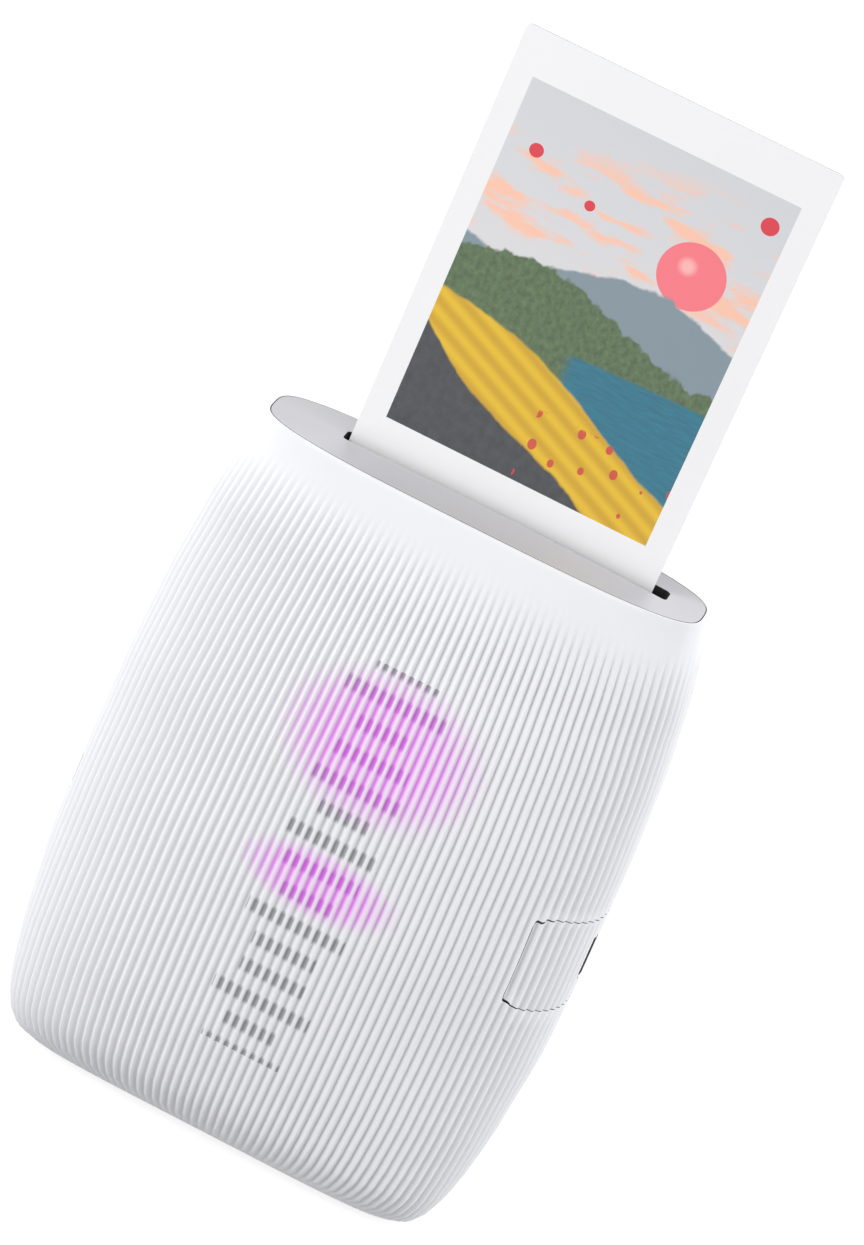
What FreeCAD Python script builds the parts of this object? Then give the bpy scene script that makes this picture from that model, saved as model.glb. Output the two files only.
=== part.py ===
import FreeCAD, Part
import math
import os

os.makedirs("parts", exist_ok=True)

# Frame: origin under the middle of the body at its foot, +Z up, the front faces -Y,
# all lengths in millimetres. The film runs in the plane y = 0.

# Film and film pack
FILM_WIDTH = 54.0
FILM_HEIGHT = 86.0
FILM_THICK = 0.3
FILM_CORNER = 1.0
FEED_X = 2.2            # the film path lies a little to the right of the body's middle
PACK_SIDE_WALL = 3.2
PACK_FILM_CLEAR = 0.3
PACK_END_WALL = 2.9
PACK_HEAD_WALL = 3.5
PACK_FRONT_WALL = 0.5
PACK_BACK_WALL = 0.8
PACK_DEPTH = 13.2
STACK_DEPTH = 4.5
STACK_CLEAR = 0.3

# Body
PACK_FLOOR = 9.2        # height of the pack's lower end
FEED_HEIGHT = 22.3      # from the pack's upper end to the crown of the cap
SIDE_SPACE = 14.5       # beside the pack, each side
BACK_SPACE = 6.4        # behind the pack
SHELL_WALL = 1.6
FLOOR_WALL = 1.8
PRINT_DEPTH = 10.9      # how deep the finished print still stands below the crown
RIB_PITCH = 1.62
RIB_DEPTH = 0.28
SPLIT_GAP = 0.2         # gap round the door and the button
OVERRUN = 2.0           # how far a cut runs past what it cuts

# Cap and slot
RIM_LAND = 0.2          # the shells' edge beside the cap
CAP_GAP = 0.25
CAP_EDGE = 2.1
CAP_CROWN = 0.9
CAP_ROUND = 0.5
CAP_SQUARENESS = 3.4
SKIRT_HEIGHT = 2.2
SKIRT_WALL = 1.2
SKIRT_INSET = 1.5
SLOT_LEFT_SPACE = 0.9   # beside the film, to the left
SLOT_RIGHT_SPACE = 2.7
SLOT_DEPTH = 3.6
SLOT_ROUND = 0.8
SEAL_THICK = 1.2
SEAL_HEIGHT = 2.2

# Chassis
CHASSIS_WALL = 1.4
PACK_CLEAR = 0.5
BAY_DEPTH = 9.0
EAR_FRONT = 5.8
EAR_BACK = 6.2
EAR_CORNER = 2.4
GUIDE_END = 8.3         # the front wall runs this far above the pack
LUG_LENGTH = 9.0
LUG_WIDTH = 7.0

# Rollers and gears
ROLLER_RADIUS = 3.3
ROLLER_PINCH = 0.05     # gap between the film and each roller
ROLLER_DROP = 9.3       # roller axes below the crown
ROLLER_REACH = 1.0      # rubber past each edge of the film
SHAFT_RADIUS = 1.2
SHAFT_END = 1.6
GEAR_SIDE_GAP = 0.4     # between the gear plate and the gears
RUN_CLEAR = 0.05
SEAT_CLEAR = 0.02
ROLLER_TEETH = 16
IDLER_TEETH = 23
SECOND_TEETH = 26
SECOND_PINION_TEETH = 10
FIRST_TEETH = 21
FIRST_PINION_TEETH = 10
MOTOR_TEETH = 9
GEAR_WIDTH = 2.2
GEAR_GAP = 0.4
TIP_SHARE = 0.20        # half a tooth's tip, as a share of half the pitch
ROOT_SHARE = 0.56
GEAR_ROOM_CLEAR = 0.4   # between a gear's teeth and the front shell
GEAR_ADDENDUM_SHARE = 0.9
GEAR_DEDENDUM_SHARE = 1.15
TRAIN_SHARES = (-2, 5, 8, 11.5)  # how far each axis lies in front of the one before, in modules
PIN_RADIUS = 0.75
PIN_HEAD_RADIUS = 1.3
PIN_HEAD = 0.3
MOTOR_RADIUS = 3.7
MOTOR_LENGTH = 18.0
MOTOR_SHAFT_RADIUS = 0.6
MOTOR_END_RADIUS = 2.0
MOTOR_FLAT_SHARE = 0.85

# Print head
HEAD_LIFT = 1.4         # above the pack
HEAD_HEIGHT = 5.8
HEAD_DEPTH = 8.2
HEAD_CLEAR = 0.65       # behind the film
HEAD_CHAMFER = 1.2
LENS_HEIGHT = 2.0
LENS_DEPTH = 0.4
CABLE_WIDTH = 2.6
CABLE_THICK = 0.2

# Film claw
CLAW_WIDTH = 6.0
CLAW_THICK = 0.6
CLAW_HEIGHT = 26.0
CLAW_INSET = 4.3        # from the left edge of the film
HOOK_WIDTH = 3.0
HOOK_HEIGHT = 1.2
HOOK_CLEAR = 0.3
HOOK_REACH = 0.25       # past the film plane
GRIP_TRAVEL = 0.6       # how far the claw pushes the film into the rollers
RAIL_WIDTH = 1.0
RAIL_CLEAR = 0.1

# Boards, battery and lights
BOARD_THICK = 1.0
BOARD_STANDOFF = 1.3
BOARD_REACH = 4.75      # past the left wall of the chassis
BOARD_TOP_GAP = 2.8     # below the motor's seat
BOARD_LIFT = 6.0        # above the chassis floor
BOARD_POST_RADIUS = 1.6
BOARD_POST_INSET = 3.0
BOARD_INSET = 0.25      # short of the right wall of the chassis
CHIP_SIZE = 12.0
CHIP_HEIGHT = 1.4
BATTERY_WIDTH = 38.0
BATTERY_END_SPACE = 3.0 # from the battery's ends to the board's ends
BATTERY_THICK = 4.4
BATTERY_GAP = 0.2
BATTERY_ROUND = 1.5
BATTERY_SHIFT = 3.5     # from the board's left edge
LIGHT_WIDTH = 20.0
LIGHT_X = 1.5
LIGHT_BOARD_THICK = 0.8
LIGHT_BOARD_GAP = 0.4
LIGHT_END = 4.0         # the light board runs this far below the main board
LIGHT_TOP = 10.0        # and this far above it
LAMP_SIZE = 2.6
LAMP_HEIGHT = 0.6
LAMP_COUNT = 6
DIFFUSER_WALL = 0.8
DIFFUSER_CLEAR = 0.3
DIFFUSER_WIDTH = 25.0
DIFFUSER_LOW = 22.0
DIFFUSER_HIGH = 97.0

# Charging socket
SOCKET_WIDTH = 8.94
SOCKET_HEIGHT = 3.16
SOCKET_LENGTH = 7.3
SOCKET_WALL = 0.3
SOCKET_DROP = 5.7       # below the middle of the pack
SOCKET_CLEAR = 0.3
SOCKET_RECESS = 0.8
SOCKET_RECESS_DEPTH = 0.7
SOCKET_INSET = 0.9
TONGUE_THICK = 0.7
TAB_SHARE = 0.7         # half the board's tab, as a share of the socket's width
TONGUE_SHARE = 0.37
ROUND_SHARE = 0.999     # the rounding of a slot's ends, as a share of half its width

# Side button
BUTTON_HEIGHT = 17.7
BUTTON_LIFT = 4.35      # its middle above the middle of the pack
BUTTON_HALF = 12.7
BUTTON_ROUND = 4.0
BUTTON_TRAVEL = 0.8
BUTTON_WALL_X = 30.0    # nothing left of this belongs to the button
STEM_RADIUS = 1.6
STEM_GAP = 0.15
WINDOW_HEIGHT = 8.6
WINDOW_WIDTH = 1.5
WINDOW_SINK = 0.35
SWITCH_LENGTH = 3.5
SWITCH_SIDE = 4.0
SWITCH_DEPTH = 2.4
PLUNGER_RADIUS = 0.8
PLUNGER_LENGTH = 0.8
LEAF_THICK = 0.3
LEAF_WIDTH = 5.0
BUTTON_LEAF_Y = 6.0
BUTTON_LEAF_CLEAR = 0.5

# Film door
DOOR_MARGIN = 0.5       # opening beyond the pack, each side
DOOR_TOP = 2.4          # opening above the pack
DOOR_ROUND = 4.0
HINGE_Z = 7.6
HINGE_INSET = 2.1       # hinge axis behind the outer surface
BARREL_RADIUS = 1.7
BARREL_CLEAR = 0.4
BARREL_END = 3.0        # length of each shell knuckle
HINGE_PIN_RADIUS = 0.8
LATCH_WIDTH = 14.0
LATCH_HEIGHT = 5.0
LATCH_DROP = 4.5        # top of the thumb piece below the top of the door
LATCH_TRAVEL = 2.4
LATCH_THICK = 1.5
LATCH_GRIP = 0.7
LATCH_GRIP_COUNT = 4
LATCH_ROUND = 0.5
TONGUE_THICKNESS = 1.2
TONGUE_WIDTH = 8.0
TONGUE_REACH = 1.5
PRESS_LEAF_LENGTH = 40.0
PRESS_LEAF_WIDTH = 8.0
PRESS_LEAF_SPREAD = 15.0
PRESS_LEAF_CLEAR = 0.3

# Screws
LOWER_SCREW = 21.4      # above the lower end of the pack
UPPER_SCREW = 5.6       # above the button
SCREW_RADIUS = 0.9
SCREW_HEAD_RADIUS = 1.8
SCREW_HEAD = 1.2
SCREW_LENGTH = 6.0
BOSS_RADIUS = 2.3
POST_GAP = 0.1          # between a screw's head and the back shell's post

# Worked-out sizes
PACK_WIDTH = FILM_WIDTH + 2 * (PACK_FILM_CLEAR + PACK_SIDE_WALL)
PACK_HEIGHT = PACK_END_WALL + FILM_HEIGHT + PACK_HEAD_WALL + 2 * PACK_FILM_CLEAR
PACK_TOP = PACK_FLOOR + PACK_HEIGHT
PACK_FRONT = -(FILM_THICK / 2 + STACK_CLEAR + PACK_FRONT_WALL)
PACK_BACK = PACK_FRONT + PACK_DEPTH
BODY_HEIGHT = PACK_TOP + FEED_HEIGHT
HALF_WIDTH = PACK_WIDTH / 2 + SIDE_SPACE
HALF_DEPTH = PACK_BACK + BACK_SPACE
RIM_Z = BODY_HEIGHT - CAP_CROWN
SEAT_Z = RIM_Z - CAP_EDGE
FILM_LEFT = FEED_X - FILM_WIDTH / 2
FILM_RIGHT = FEED_X + FILM_WIDTH / 2
ROLLER_LENGTH = FILM_WIDTH + 2 * ROLLER_REACH
FILM_FOOT = PACK_FLOOR + PACK_END_WALL + PACK_FILM_CLEAR
PRINT_FOOT = BODY_HEIGHT - PRINT_DEPTH
PACK_MID = PACK_FLOOR + PACK_HEIGHT / 2
PACK_LEFT = FEED_X - PACK_WIDTH / 2
PACK_RIGHT = FEED_X + PACK_WIDTH / 2
PLATE_BACK = PACK_FRONT - PACK_CLEAR
PLATE_FRONT = PLATE_BACK - CHASSIS_WALL
LEFT_WALL = PACK_LEFT - PACK_CLEAR
RIGHT_WALL = PACK_RIGHT + PACK_CLEAR
CHASSIS_FLOOR = PACK_FLOOR - PACK_CLEAR
ROLLER_Z = BODY_HEIGHT - ROLLER_DROP
ROLLER_Y = ROLLER_RADIUS + FILM_THICK / 2 + ROLLER_PINCH
MODULE = 2 * ROLLER_Y / ROLLER_TEETH
LAYER_ONE = LEFT_WALL - CHASSIS_WALL - GEAR_SIDE_GAP
LAYER_TWO = LAYER_ONE - GEAR_WIDTH - GEAR_GAP
BOARD_BACK = PLATE_FRONT - BOARD_STANDOFF
BOARD_FRONT = BOARD_BACK - BOARD_THICK
BOARD_Z = CHASSIS_FLOOR + BOARD_LIFT
BOARD_LEFT = LEFT_WALL - BOARD_REACH
BOARD_RIGHT = RIGHT_WALL - BOARD_INSET
BATTERY_BACK = BOARD_FRONT - CHIP_HEIGHT - BATTERY_GAP
BATTERY_FRONT = BATTERY_BACK - BATTERY_THICK
LIGHT_BOARD_BACK = BATTERY_FRONT - LIGHT_BOARD_GAP
LIGHT_BOARD_FRONT = LIGHT_BOARD_BACK - LIGHT_BOARD_THICK

# The body's form, level by level. Each row: height as a share of the rim's height, half width
# as a share of HALF_WIDTH, front and back half depth as shares of HALF_DEPTH, squareness of the
# front and of the back, and rib depth as a share of RIB_DEPTH.
LEVEL_SHARES = [
    (0.000, 0.667, 0.270, 0.430, 5.0, 5.0, 0.0),
    (0.006, 0.750, 0.375, 0.560, 5.0, 5.0, 0.0),
    (0.018, 0.816, 0.498, 0.700, 5.0, 5.0, 0.0),
    (0.036, 0.862, 0.640, 0.815, 4.6, 4.8, 0.0),
    (0.058, 0.892, 0.760, 0.893, 4.1, 4.4, 0.0),
    (0.100, 0.928, 0.882, 0.951, 3.4, 4.0, 1.0),
    (0.230, 0.978, 0.980, 0.995, 2.7, 3.6, 1.0),
    (0.440, 1.000, 1.000, 1.000, 2.4, 3.5, 1.0),
    (0.740, 0.974, 0.843, 0.972, 2.4, 3.5, 1.0),
    (0.890, 0.925, 0.669, 0.840, 2.6, 3.4, 1.0),
    (0.965, 0.882, 0.562, 0.640, 2.9, 3.3, 0.0),
    (1.000, 0.858, 0.505, 0.510, 3.3, 3.3, 0.0),
]
FIRST_RIBBED = 5        # the lowest row with ribs
LAST_RIBBED = 9         # the highest row with ribs
WIDEST_ROW = 7
OUTLINE_STEPS = 720
PLAIN_RATE = 2          # ribs to one point of a plain outline
CORNER_STEPS = 4
ROD_SIDES = 12          # of rods that nothing turns on
POST_SIDES = 8
PLAIN_STEPS = 20
CAP_STEPS = 18
CROWN_SHARES = (1.0, 0.7, 0.3)
FRONT = -1
BACK = 1


def save(shape, node):
    shape.exportStep("parts/" + node + ".step")


def vec(x, y, z):
    return FreeCAD.Vector(x, y, z)


def box(x0, x1, y0, y1, z0, z1):
    return Part.makeBox(x1 - x0, y1 - y0, z1 - z0, vec(x0, y0, z0))


def rod_x(x0, x1, y, z, radius):
    return Part.makeCylinder(radius, x1 - x0, vec(x0, y, z), vec(1, 0, 0))


def rod_y(y0, y1, x, z, radius):
    return Part.makeCylinder(radius, y1 - y0, vec(x, y0, z), vec(0, 1, 0))


def plain_rod_y(y0, y1, x, z, radius, sides):
    """A rod along Y with flat sides, for posts, bosses and screws."""
    turns = [2 * math.pi * i / sides for i in range(sides + 1)]
    outline = [vec(x + radius * math.cos(turn), y0, z + radius * math.sin(turn)) for turn in turns]
    return Part.Face(Part.makePolygon(outline)).extrude(vec(0, y1 - y0, 0))


def plain_rod_x(x0, x1, y, z, radius, sides):
    turns = [2 * math.pi * i / sides for i in range(sides + 1)]
    outline = [vec(x0, y + radius * math.cos(turn), z + radius * math.sin(turn)) for turn in turns]
    return Part.Face(Part.makePolygon(outline)).extrude(vec(x1 - x0, 0, 0))


def chorded_face(u0, u1, v0, v1, radius, place):
    """A rectangle whose round corners are short chords, for small or much cut corners."""
    points = []
    corners = [(u1 - radius, v0 + radius), (u1 - radius, v1 - radius),
               (u0 + radius, v1 - radius), (u0 + radius, v0 + radius)]
    for index, (u, v) in enumerate(corners):
        for step in range(CORNER_STEPS + 1):
            turn = math.pi / 2 * (index - 1 + step / CORNER_STEPS)
            points.append(place(u + radius * math.cos(turn), v + radius * math.sin(turn)))
    return Part.Face(Part.makePolygon(points + [points[0]]))


def rounded_face(u0, u1, v0, v1, radius, place):
    """A rectangle with round corners; place turns (u, v) into a point."""
    bend = radius * (1 - math.sqrt(0.5))
    corners = [(u1, v0, -1, 1), (u1, v1, -1, -1), (u0, v1, 1, -1), (u0, v0, 1, 1)]
    stops = []
    for index, (u, v, du, dv) in enumerate(corners):
        along_v = place(u, v + dv * radius)
        along_u = place(u + du * radius, v)
        middle = place(u + du * bend, v + dv * bend)
        pair = (along_u, middle, along_v) if index % 2 == 0 else (along_v, middle, along_u)
        stops.append(pair)
    edges = []
    for index, stop in enumerate(stops):
        edges.append(Part.Arc(*stop).toShape())
        start = stops[(index + 1) % len(stops)][0]
        if stop[2].distanceToPoint(start) > radius * 1e-6:
            edges.append(Part.LineSegment(stop[2], start).toShape())
    return Part.Face(Part.Wire(edges))


def slab_y(x0, x1, z0, z1, radius, y0, y1, face_form=rounded_face):
    """A plate with round corners, thick along Y."""
    face = face_form(x0, x1, z0, z1, radius, lambda u, v: vec(u, y0, v))
    return face.extrude(vec(0, y1 - y0, 0))


def slab_x(y0, y1, z0, z1, radius, x0, x1, face_form=rounded_face):
    """A plate with round corners, thick along X."""
    face = face_form(y0, y1, z0, z1, radius, lambda u, v: vec(x0, u, v))
    return face.extrude(vec(x1 - x0, 0, 0))


def slab_z(x0, x1, y0, y1, radius, z0, z1, face_form=rounded_face):
    """A plate with round corners, thick along Z."""
    face = face_form(x0, x1, y0, y1, radius, lambda u, v: vec(u, v, z0))
    return face.extrude(vec(0, 0, z1 - z0))


def strip(points, thickness, width_vector):
    """A bent metal strip: a polyline in a plane across width_vector, given a thickness."""
    across = FreeCAD.Vector(width_vector)
    across.normalize()
    upper = []
    lower = []
    for index, point in enumerate(points):
        before = points[max(index - 1, 0)]
        after = points[min(index + 1, len(points) - 1)]
        side = across.cross(after.sub(before))
        side.normalize()
        side.multiply(thickness / 2)
        upper.append(point.add(side))
        lower.append(point.sub(side))
    outline = upper + lower[::-1] + [upper[0]]
    return Part.Face(Part.makePolygon(outline)).extrude(width_vector)


# Body form: half outlines of the body at any height, and solids lofted through them
def outline_point(half_width, half_depth, power, angle, side):
    c = math.cos(angle)
    s = math.sin(angle)
    reach = (abs(c / half_width) ** power + abs(s / half_depth) ** power) ** (-1 / power)
    return (reach * c, side * reach * s)


def outline_at(half_width, half_depth, power, side, shares):
    """Points of a half outline at the given shares of its length, from +X round to -X."""
    run = [outline_point(half_width, half_depth, power, math.pi * i / OUTLINE_STEPS, side)
           for i in range(OUTLINE_STEPS + 1)]
    lengths = [0]
    for one, two in zip(run, run[1:]):
        lengths.append(lengths[-1] + math.dist(one, two))
    points = []
    index = 0
    for share in shares:
        target = share * lengths[-1]
        while index < OUTLINE_STEPS - 1 and lengths[index + 1] < target:
            index += 1
        part_way = (target - lengths[index]) / (lengths[index + 1] - lengths[index])
        one = run[index]
        two = run[index + 1]
        points.append((one[0] + part_way * (two[0] - one[0]), one[1] + part_way * (two[1] - one[1])))
    return points


def level_sizes(row, side):
    height, width, front, back, front_power, back_power, rib = row
    depth = front if side == FRONT else back
    power = front_power if side == FRONT else back_power
    return height * RIM_Z, width * HALF_WIDTH, depth * HALF_DEPTH, power, rib * RIB_DEPTH


def sizes_at(z, side):
    """Half width, half depth and squareness of the body at a height."""
    rows = [level_sizes(row, side) for row in LEVEL_SHARES]
    for low, high in zip(rows, rows[1:]):
        if z <= high[0] or high is rows[-1]:
            t = (z - low[0]) / (high[0] - low[0])
            return tuple(low[k] + t * (high[k] - low[k]) for k in (1, 2, 3))


def surface_y(x, z, side, inset=0):
    """Where the body's surface, or one set in from it, lies in Y at x and z."""
    half_width, half_depth, power = sizes_at(z, side)
    t = min(abs(x) / (half_width - inset), 1)
    return side * (half_depth - inset) * (1 - t ** power) ** (1 / power)


def surface_x(y, z, side, inset=0):
    half_width, half_depth, power = sizes_at(z, side)
    t = min(abs(y) / (half_depth - inset), 1)
    return (half_width - inset) * (1 - t ** power) ** (1 / power)


def rib_count(side):
    z, half_width, half_depth, power, rib = level_sizes(LEVEL_SHARES[WIDEST_ROW], side)
    points = outline_at(half_width, half_depth, power, side, even_shares(PLAIN_STEPS))
    length = sum(math.dist(one, two) for one, two in zip(points, points[1:]))
    return PLAIN_RATE * round(length / RIB_PITCH / PLAIN_RATE)


def spots(points, z):
    return [vec(x, y, z) for x, y in points]


def even_shares(count):
    return [i / count for i in range(count + 1)]


def plain_outline(row, side, count):
    z, half_width, half_depth, power, rib = level_sizes(row, side)
    return spots(outline_at(half_width, half_depth, power, side, even_shares(count)), z)


def ribbed_outline(row, side, count):
    """A half outline that goes in and out: a groove between every two ribs' crests."""
    z, half_width, half_depth, power, depth = level_sizes(row, side)
    shares = even_shares(2 * count)
    grooves = outline_at(half_width - depth, half_depth - depth, power, side, shares[::2])
    crests = outline_at(half_width, half_depth, power, side, shares[1::2])
    points = [point for pair in zip(grooves, crests) for point in pair]
    return spots(points + [grooves[count]], z)


def flat_sided(levels):
    """A solid between closed outlines, one above the other, with flat triangular sides.
    An outline may have a whole number of times the points of the one next to it."""
    corners = [corner for level in levels for corner in level]
    facets = []
    start = 0
    for low, high in zip(levels, levels[1:]):
        steps = min(len(low), len(high))
        low_rate = len(low) // steps
        high_rate = len(high) // steps
        for i in range(steps):
            lows = [start + (i * low_rate + k) % len(low) for k in range(low_rate + 1)]
            highs = [start + len(low) + (i * high_rate + k) % len(high) for k in range(high_rate + 1)]
            facets += [(lows[k], lows[k + 1], highs[0]) for k in range(low_rate)]
            facets += [(lows[-1], highs[k + 1], highs[k]) for k in range(high_rate)]
        start += len(low)
    facets += [(0, i + 1, i) for i in range(1, len(levels[0]) - 1)]
    facets += [(start, start + i, start + i + 1) for i in range(1, len(levels[-1]) - 1)]
    skin = Part.Shape()
    skin.makeShapeFromMesh((corners, facets), 1e-6)
    return Part.makeSolid(skin).removeSplitter()


def body_form():
    """The outer form: a smooth foot, the ribbed middle and a smooth shoulder."""
    levels = []
    for index, row in enumerate(LEVEL_SHARES):
        ribbed = FIRST_RIBBED <= index <= LAST_RIBBED
        outline = ribbed_outline if ribbed else plain_outline
        share = 1 if ribbed else PLAIN_RATE
        front = outline(row, FRONT, rib_count(FRONT) // share)
        back = outline(row, BACK, rib_count(BACK) // share)
        levels.append(back[:-1] + front[::-1][:-1])
    below_foot = [point.sub(vec(0, 0, OVERRUN)) for point in levels[0]]
    return flat_sided([below_foot] + levels)


def inner_form(side_wall, floor_wall, top_z):
    """The space inside the walls, front and back together, up to top_z."""
    rows = LEVEL_SHARES[:FIRST_RIBBED - 1:2] + LEVEL_SHARES[FIRST_RIBBED - 1:-1]
    heights = [row[0] * RIM_Z for row in rows]
    levels = []
    for z in heights + [top_z]:
        lift = floor_wall * (1 - z / top_z)
        level = []
        for side in (BACK, FRONT):
            half_width, half_depth, power = sizes_at(z, side)
            half = outline_at(half_width - side_wall, half_depth - side_wall, power, side,
                              even_shares(PLAIN_STEPS))
            level += half[:-1] if side == BACK else half[::-1][:-1]
        levels.append(spots(level, z + lift))
    return flat_sided(levels)


def half_space(side):
    far = HALF_WIDTH + OVERRUN
    y0, y1 = (-far, 0) if side == FRONT else (0, far)
    return box(-far, far, y0, y1, 0, BODY_HEIGHT)


body = body_form()
cavity = inner_form(SHELL_WALL, FLOOR_WALL, SEAT_Z)
wall_limit = inner_form(SHELL_WALL / 2, FLOOR_WALL / 2, SEAT_Z)


# Cap outline, used for the cap and for its seat in the shells
RIM_SHARES = LEVEL_SHARES[-1]
CAP_HALF_WIDTH = RIM_SHARES[1] * HALF_WIDTH - RIM_LAND - CAP_GAP
CAP_HALF_DEPTH = RIM_SHARES[2] * HALF_DEPTH - RIM_LAND - CAP_GAP


def cap_level(inset, z, share=1):
    half_width = (CAP_HALF_WIDTH - inset) * share
    half_depth = (CAP_HALF_DEPTH - inset) * share
    back = outline_at(half_width, half_depth, CAP_SQUARENESS, BACK, even_shares(CAP_STEPS))
    return spots(back[:-1] + [(-x, -y) for x, y in back[:-1]], z)


def cap_prism(inset, z0, z1):
    return flat_sided([cap_level(inset, z0), cap_level(inset, z1)])


cap_seat = cap_prism(-CAP_GAP, SEAT_Z, RIM_Z + OVERRUN)
shells = body.cut([cavity, cap_seat])
front_wall = shells.common(half_space(FRONT))
back_wall = shells.common(half_space(BACK))

# Openings in the shells: the button's and the door's outlines, and the hinge line
BUTTON_MID = PACK_MID + BUTTON_LIFT
BUTTON_LOW = BUTTON_MID - BUTTON_HEIGHT / 2
BUTTON_HIGH = BUTTON_MID + BUTTON_HEIGHT / 2
HINGE_Y = surface_y(FEED_X, HINGE_Z, BACK) - HINGE_INSET
DOOR_LEFT = PACK_LEFT - DOOR_MARGIN - SPLIT_GAP
DOOR_RIGHT = PACK_RIGHT + DOOR_MARGIN + SPLIT_GAP
DOOR_HIGH = PACK_TOP + DOOR_TOP
DOOR_LOW = HINGE_Z + BARREL_RADIUS + BARREL_CLEAR
BARREL_LEFT = DOOR_LEFT + BARREL_END
BARREL_RIGHT = DOOR_RIGHT - BARREL_END
FAR_BACK = HALF_DEPTH + OVERRUN


def button_block(gap):
    return slab_x(-BUTTON_HALF + gap, BUTTON_HALF - gap, BUTTON_LOW + gap, BUTTON_HIGH - gap,
                  BUTTON_ROUND - gap, BUTTON_WALL_X, HALF_WIDTH + OVERRUN, chorded_face)


def door_block(gap, low):
    upper = slab_y(DOOR_LEFT + gap, DOOR_RIGHT - gap, low, DOOR_HIGH - gap, DOOR_ROUND - gap,
                   PACK_BACK / 2, FAR_BACK, chorded_face)
    square = box(DOOR_LEFT + gap, DOOR_RIGHT - gap, PACK_BACK / 2, FAR_BACK, low, low + DOOR_ROUND)
    return upper.fuse(square).removeSplitter()


# Screw places, in x and z, on the chassis lugs
SCREW_LEFT = LEFT_WALL - CHASSIS_WALL - LUG_LENGTH + BOSS_RADIUS
SCREW_RIGHT = RIGHT_WALL + CHASSIS_WALL + LUG_LENGTH - 2 * BOSS_RADIUS
SCREW_LEVELS = (PACK_FLOOR + LOWER_SCREW, BUTTON_HIGH + UPPER_SCREW)
SCREWS = [(x, z) for z in SCREW_LEVELS for x in (SCREW_LEFT, SCREW_RIGHT)]

# Front shell: the ribbed front, with screw bosses behind it and the charging opening on the left
SOCKET_Z = PACK_MID - SOCKET_DROP
SOCKET_Y = BOARD_BACK + SOCKET_HEIGHT / 2
SOCKET_MOUTH = -surface_x(SOCKET_Y, SOCKET_Z, FRONT) + SOCKET_INSET


def socket_block(grow, x0, x1):
    height = SOCKET_HEIGHT + 2 * grow
    width = SOCKET_WIDTH + 2 * grow
    return slab_x(SOCKET_Y - height / 2, SOCKET_Y + height / 2, SOCKET_Z - width / 2,
                  SOCKET_Z + width / 2, height / 2 * ROUND_SHARE, x0, x1, chorded_face)


far_left = -HALF_WIDTH - OVERRUN
socket_ways = [
    socket_block(SOCKET_CLEAR, far_left, SOCKET_MOUTH + SOCKET_LENGTH),
    socket_block(SOCKET_RECESS, far_left, SOCKET_MOUTH - SOCKET_INSET + SOCKET_RECESS_DEPTH),
]
GEAR_RADIUS = MODULE * (ROLLER_TEETH / 2 + GEAR_ADDENDUM_SHARE)
gear_room = rod_x(LAYER_ONE - GEAR_WIDTH - GEAR_GAP, LAYER_ONE + GEAR_SIDE_GAP, -ROLLER_Y, ROLLER_Z,
                  GEAR_RADIUS + GEAR_ROOM_CLEAR)
front_shell = front_wall.cut([button_block(0), gear_room] + socket_ways)
front_bosses = []
boss_holes = []
for x, z in SCREWS:
    boss = plain_rod_y(-HALF_DEPTH, PLATE_FRONT, x, z, BOSS_RADIUS, POST_SIDES)
    front_bosses.append(boss.common(wall_limit))
    boss_holes.append(plain_rod_y(PLATE_FRONT - SCREW_LENGTH, PLATE_FRONT, x, z,
                                  SCREW_RADIUS + SEAT_CLEAR, ROD_SIDES))
front_shell = front_shell.fuse(front_bosses).cut(boss_holes)
save(front_shell, "front_shell")

# Back shell: the ribbed back, open for the film pack, with a knuckle at each end of the hinge
back_shell = back_wall.cut([button_block(0), door_block(0, HINGE_Z - BARREL_RADIUS - BARREL_CLEAR)])
PIN_LEFT = DOOR_LEFT - SHELL_WALL
PIN_RIGHT = DOOR_RIGHT + SHELL_WALL
knuckles = []
for x0, x1 in ((PIN_LEFT, BARREL_LEFT - SPLIT_GAP), (BARREL_RIGHT + SPLIT_GAP, PIN_RIGHT)):
    knuckle = plain_rod_x(x0, x1, HINGE_Y, HINGE_Z, BARREL_RADIUS, ROD_SIDES)
    web_low = HINGE_Z - BARREL_RADIUS - BARREL_CLEAR - SHELL_WALL
    web = box(x0, x1, HINGE_Y - BARREL_RADIUS, HINGE_Y, web_low, HINGE_Z).common(wall_limit)
    hole = rod_x(x0, x1, HINGE_Y, HINGE_Z, HINGE_PIN_RADIUS + SEAT_CLEAR)
    knuckles.append(knuckle.fuse(web).cut(hole))
posts = []
for x, z in SCREWS:
    post = plain_rod_y(PLATE_BACK + SCREW_HEAD + POST_GAP, HALF_DEPTH, x, z, BOSS_RADIUS, POST_SIDES)
    posts.append(post.common(wall_limit))
back_shell = back_shell.fuse(knuckles + posts)
back_shell = back_shell.cut(rod_x(PIN_LEFT, PIN_RIGHT, HINGE_Y, HINGE_Z, HINGE_PIN_RADIUS + SEAT_CLEAR))
save(back_shell, "back_shell")

# Hinge pin: a steel wire through the shell knuckles and the door's barrel
save(rod_x(PIN_LEFT, PIN_RIGHT, HINGE_Y, HINGE_Z, HINGE_PIN_RADIUS), "hinge_pin")

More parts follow.
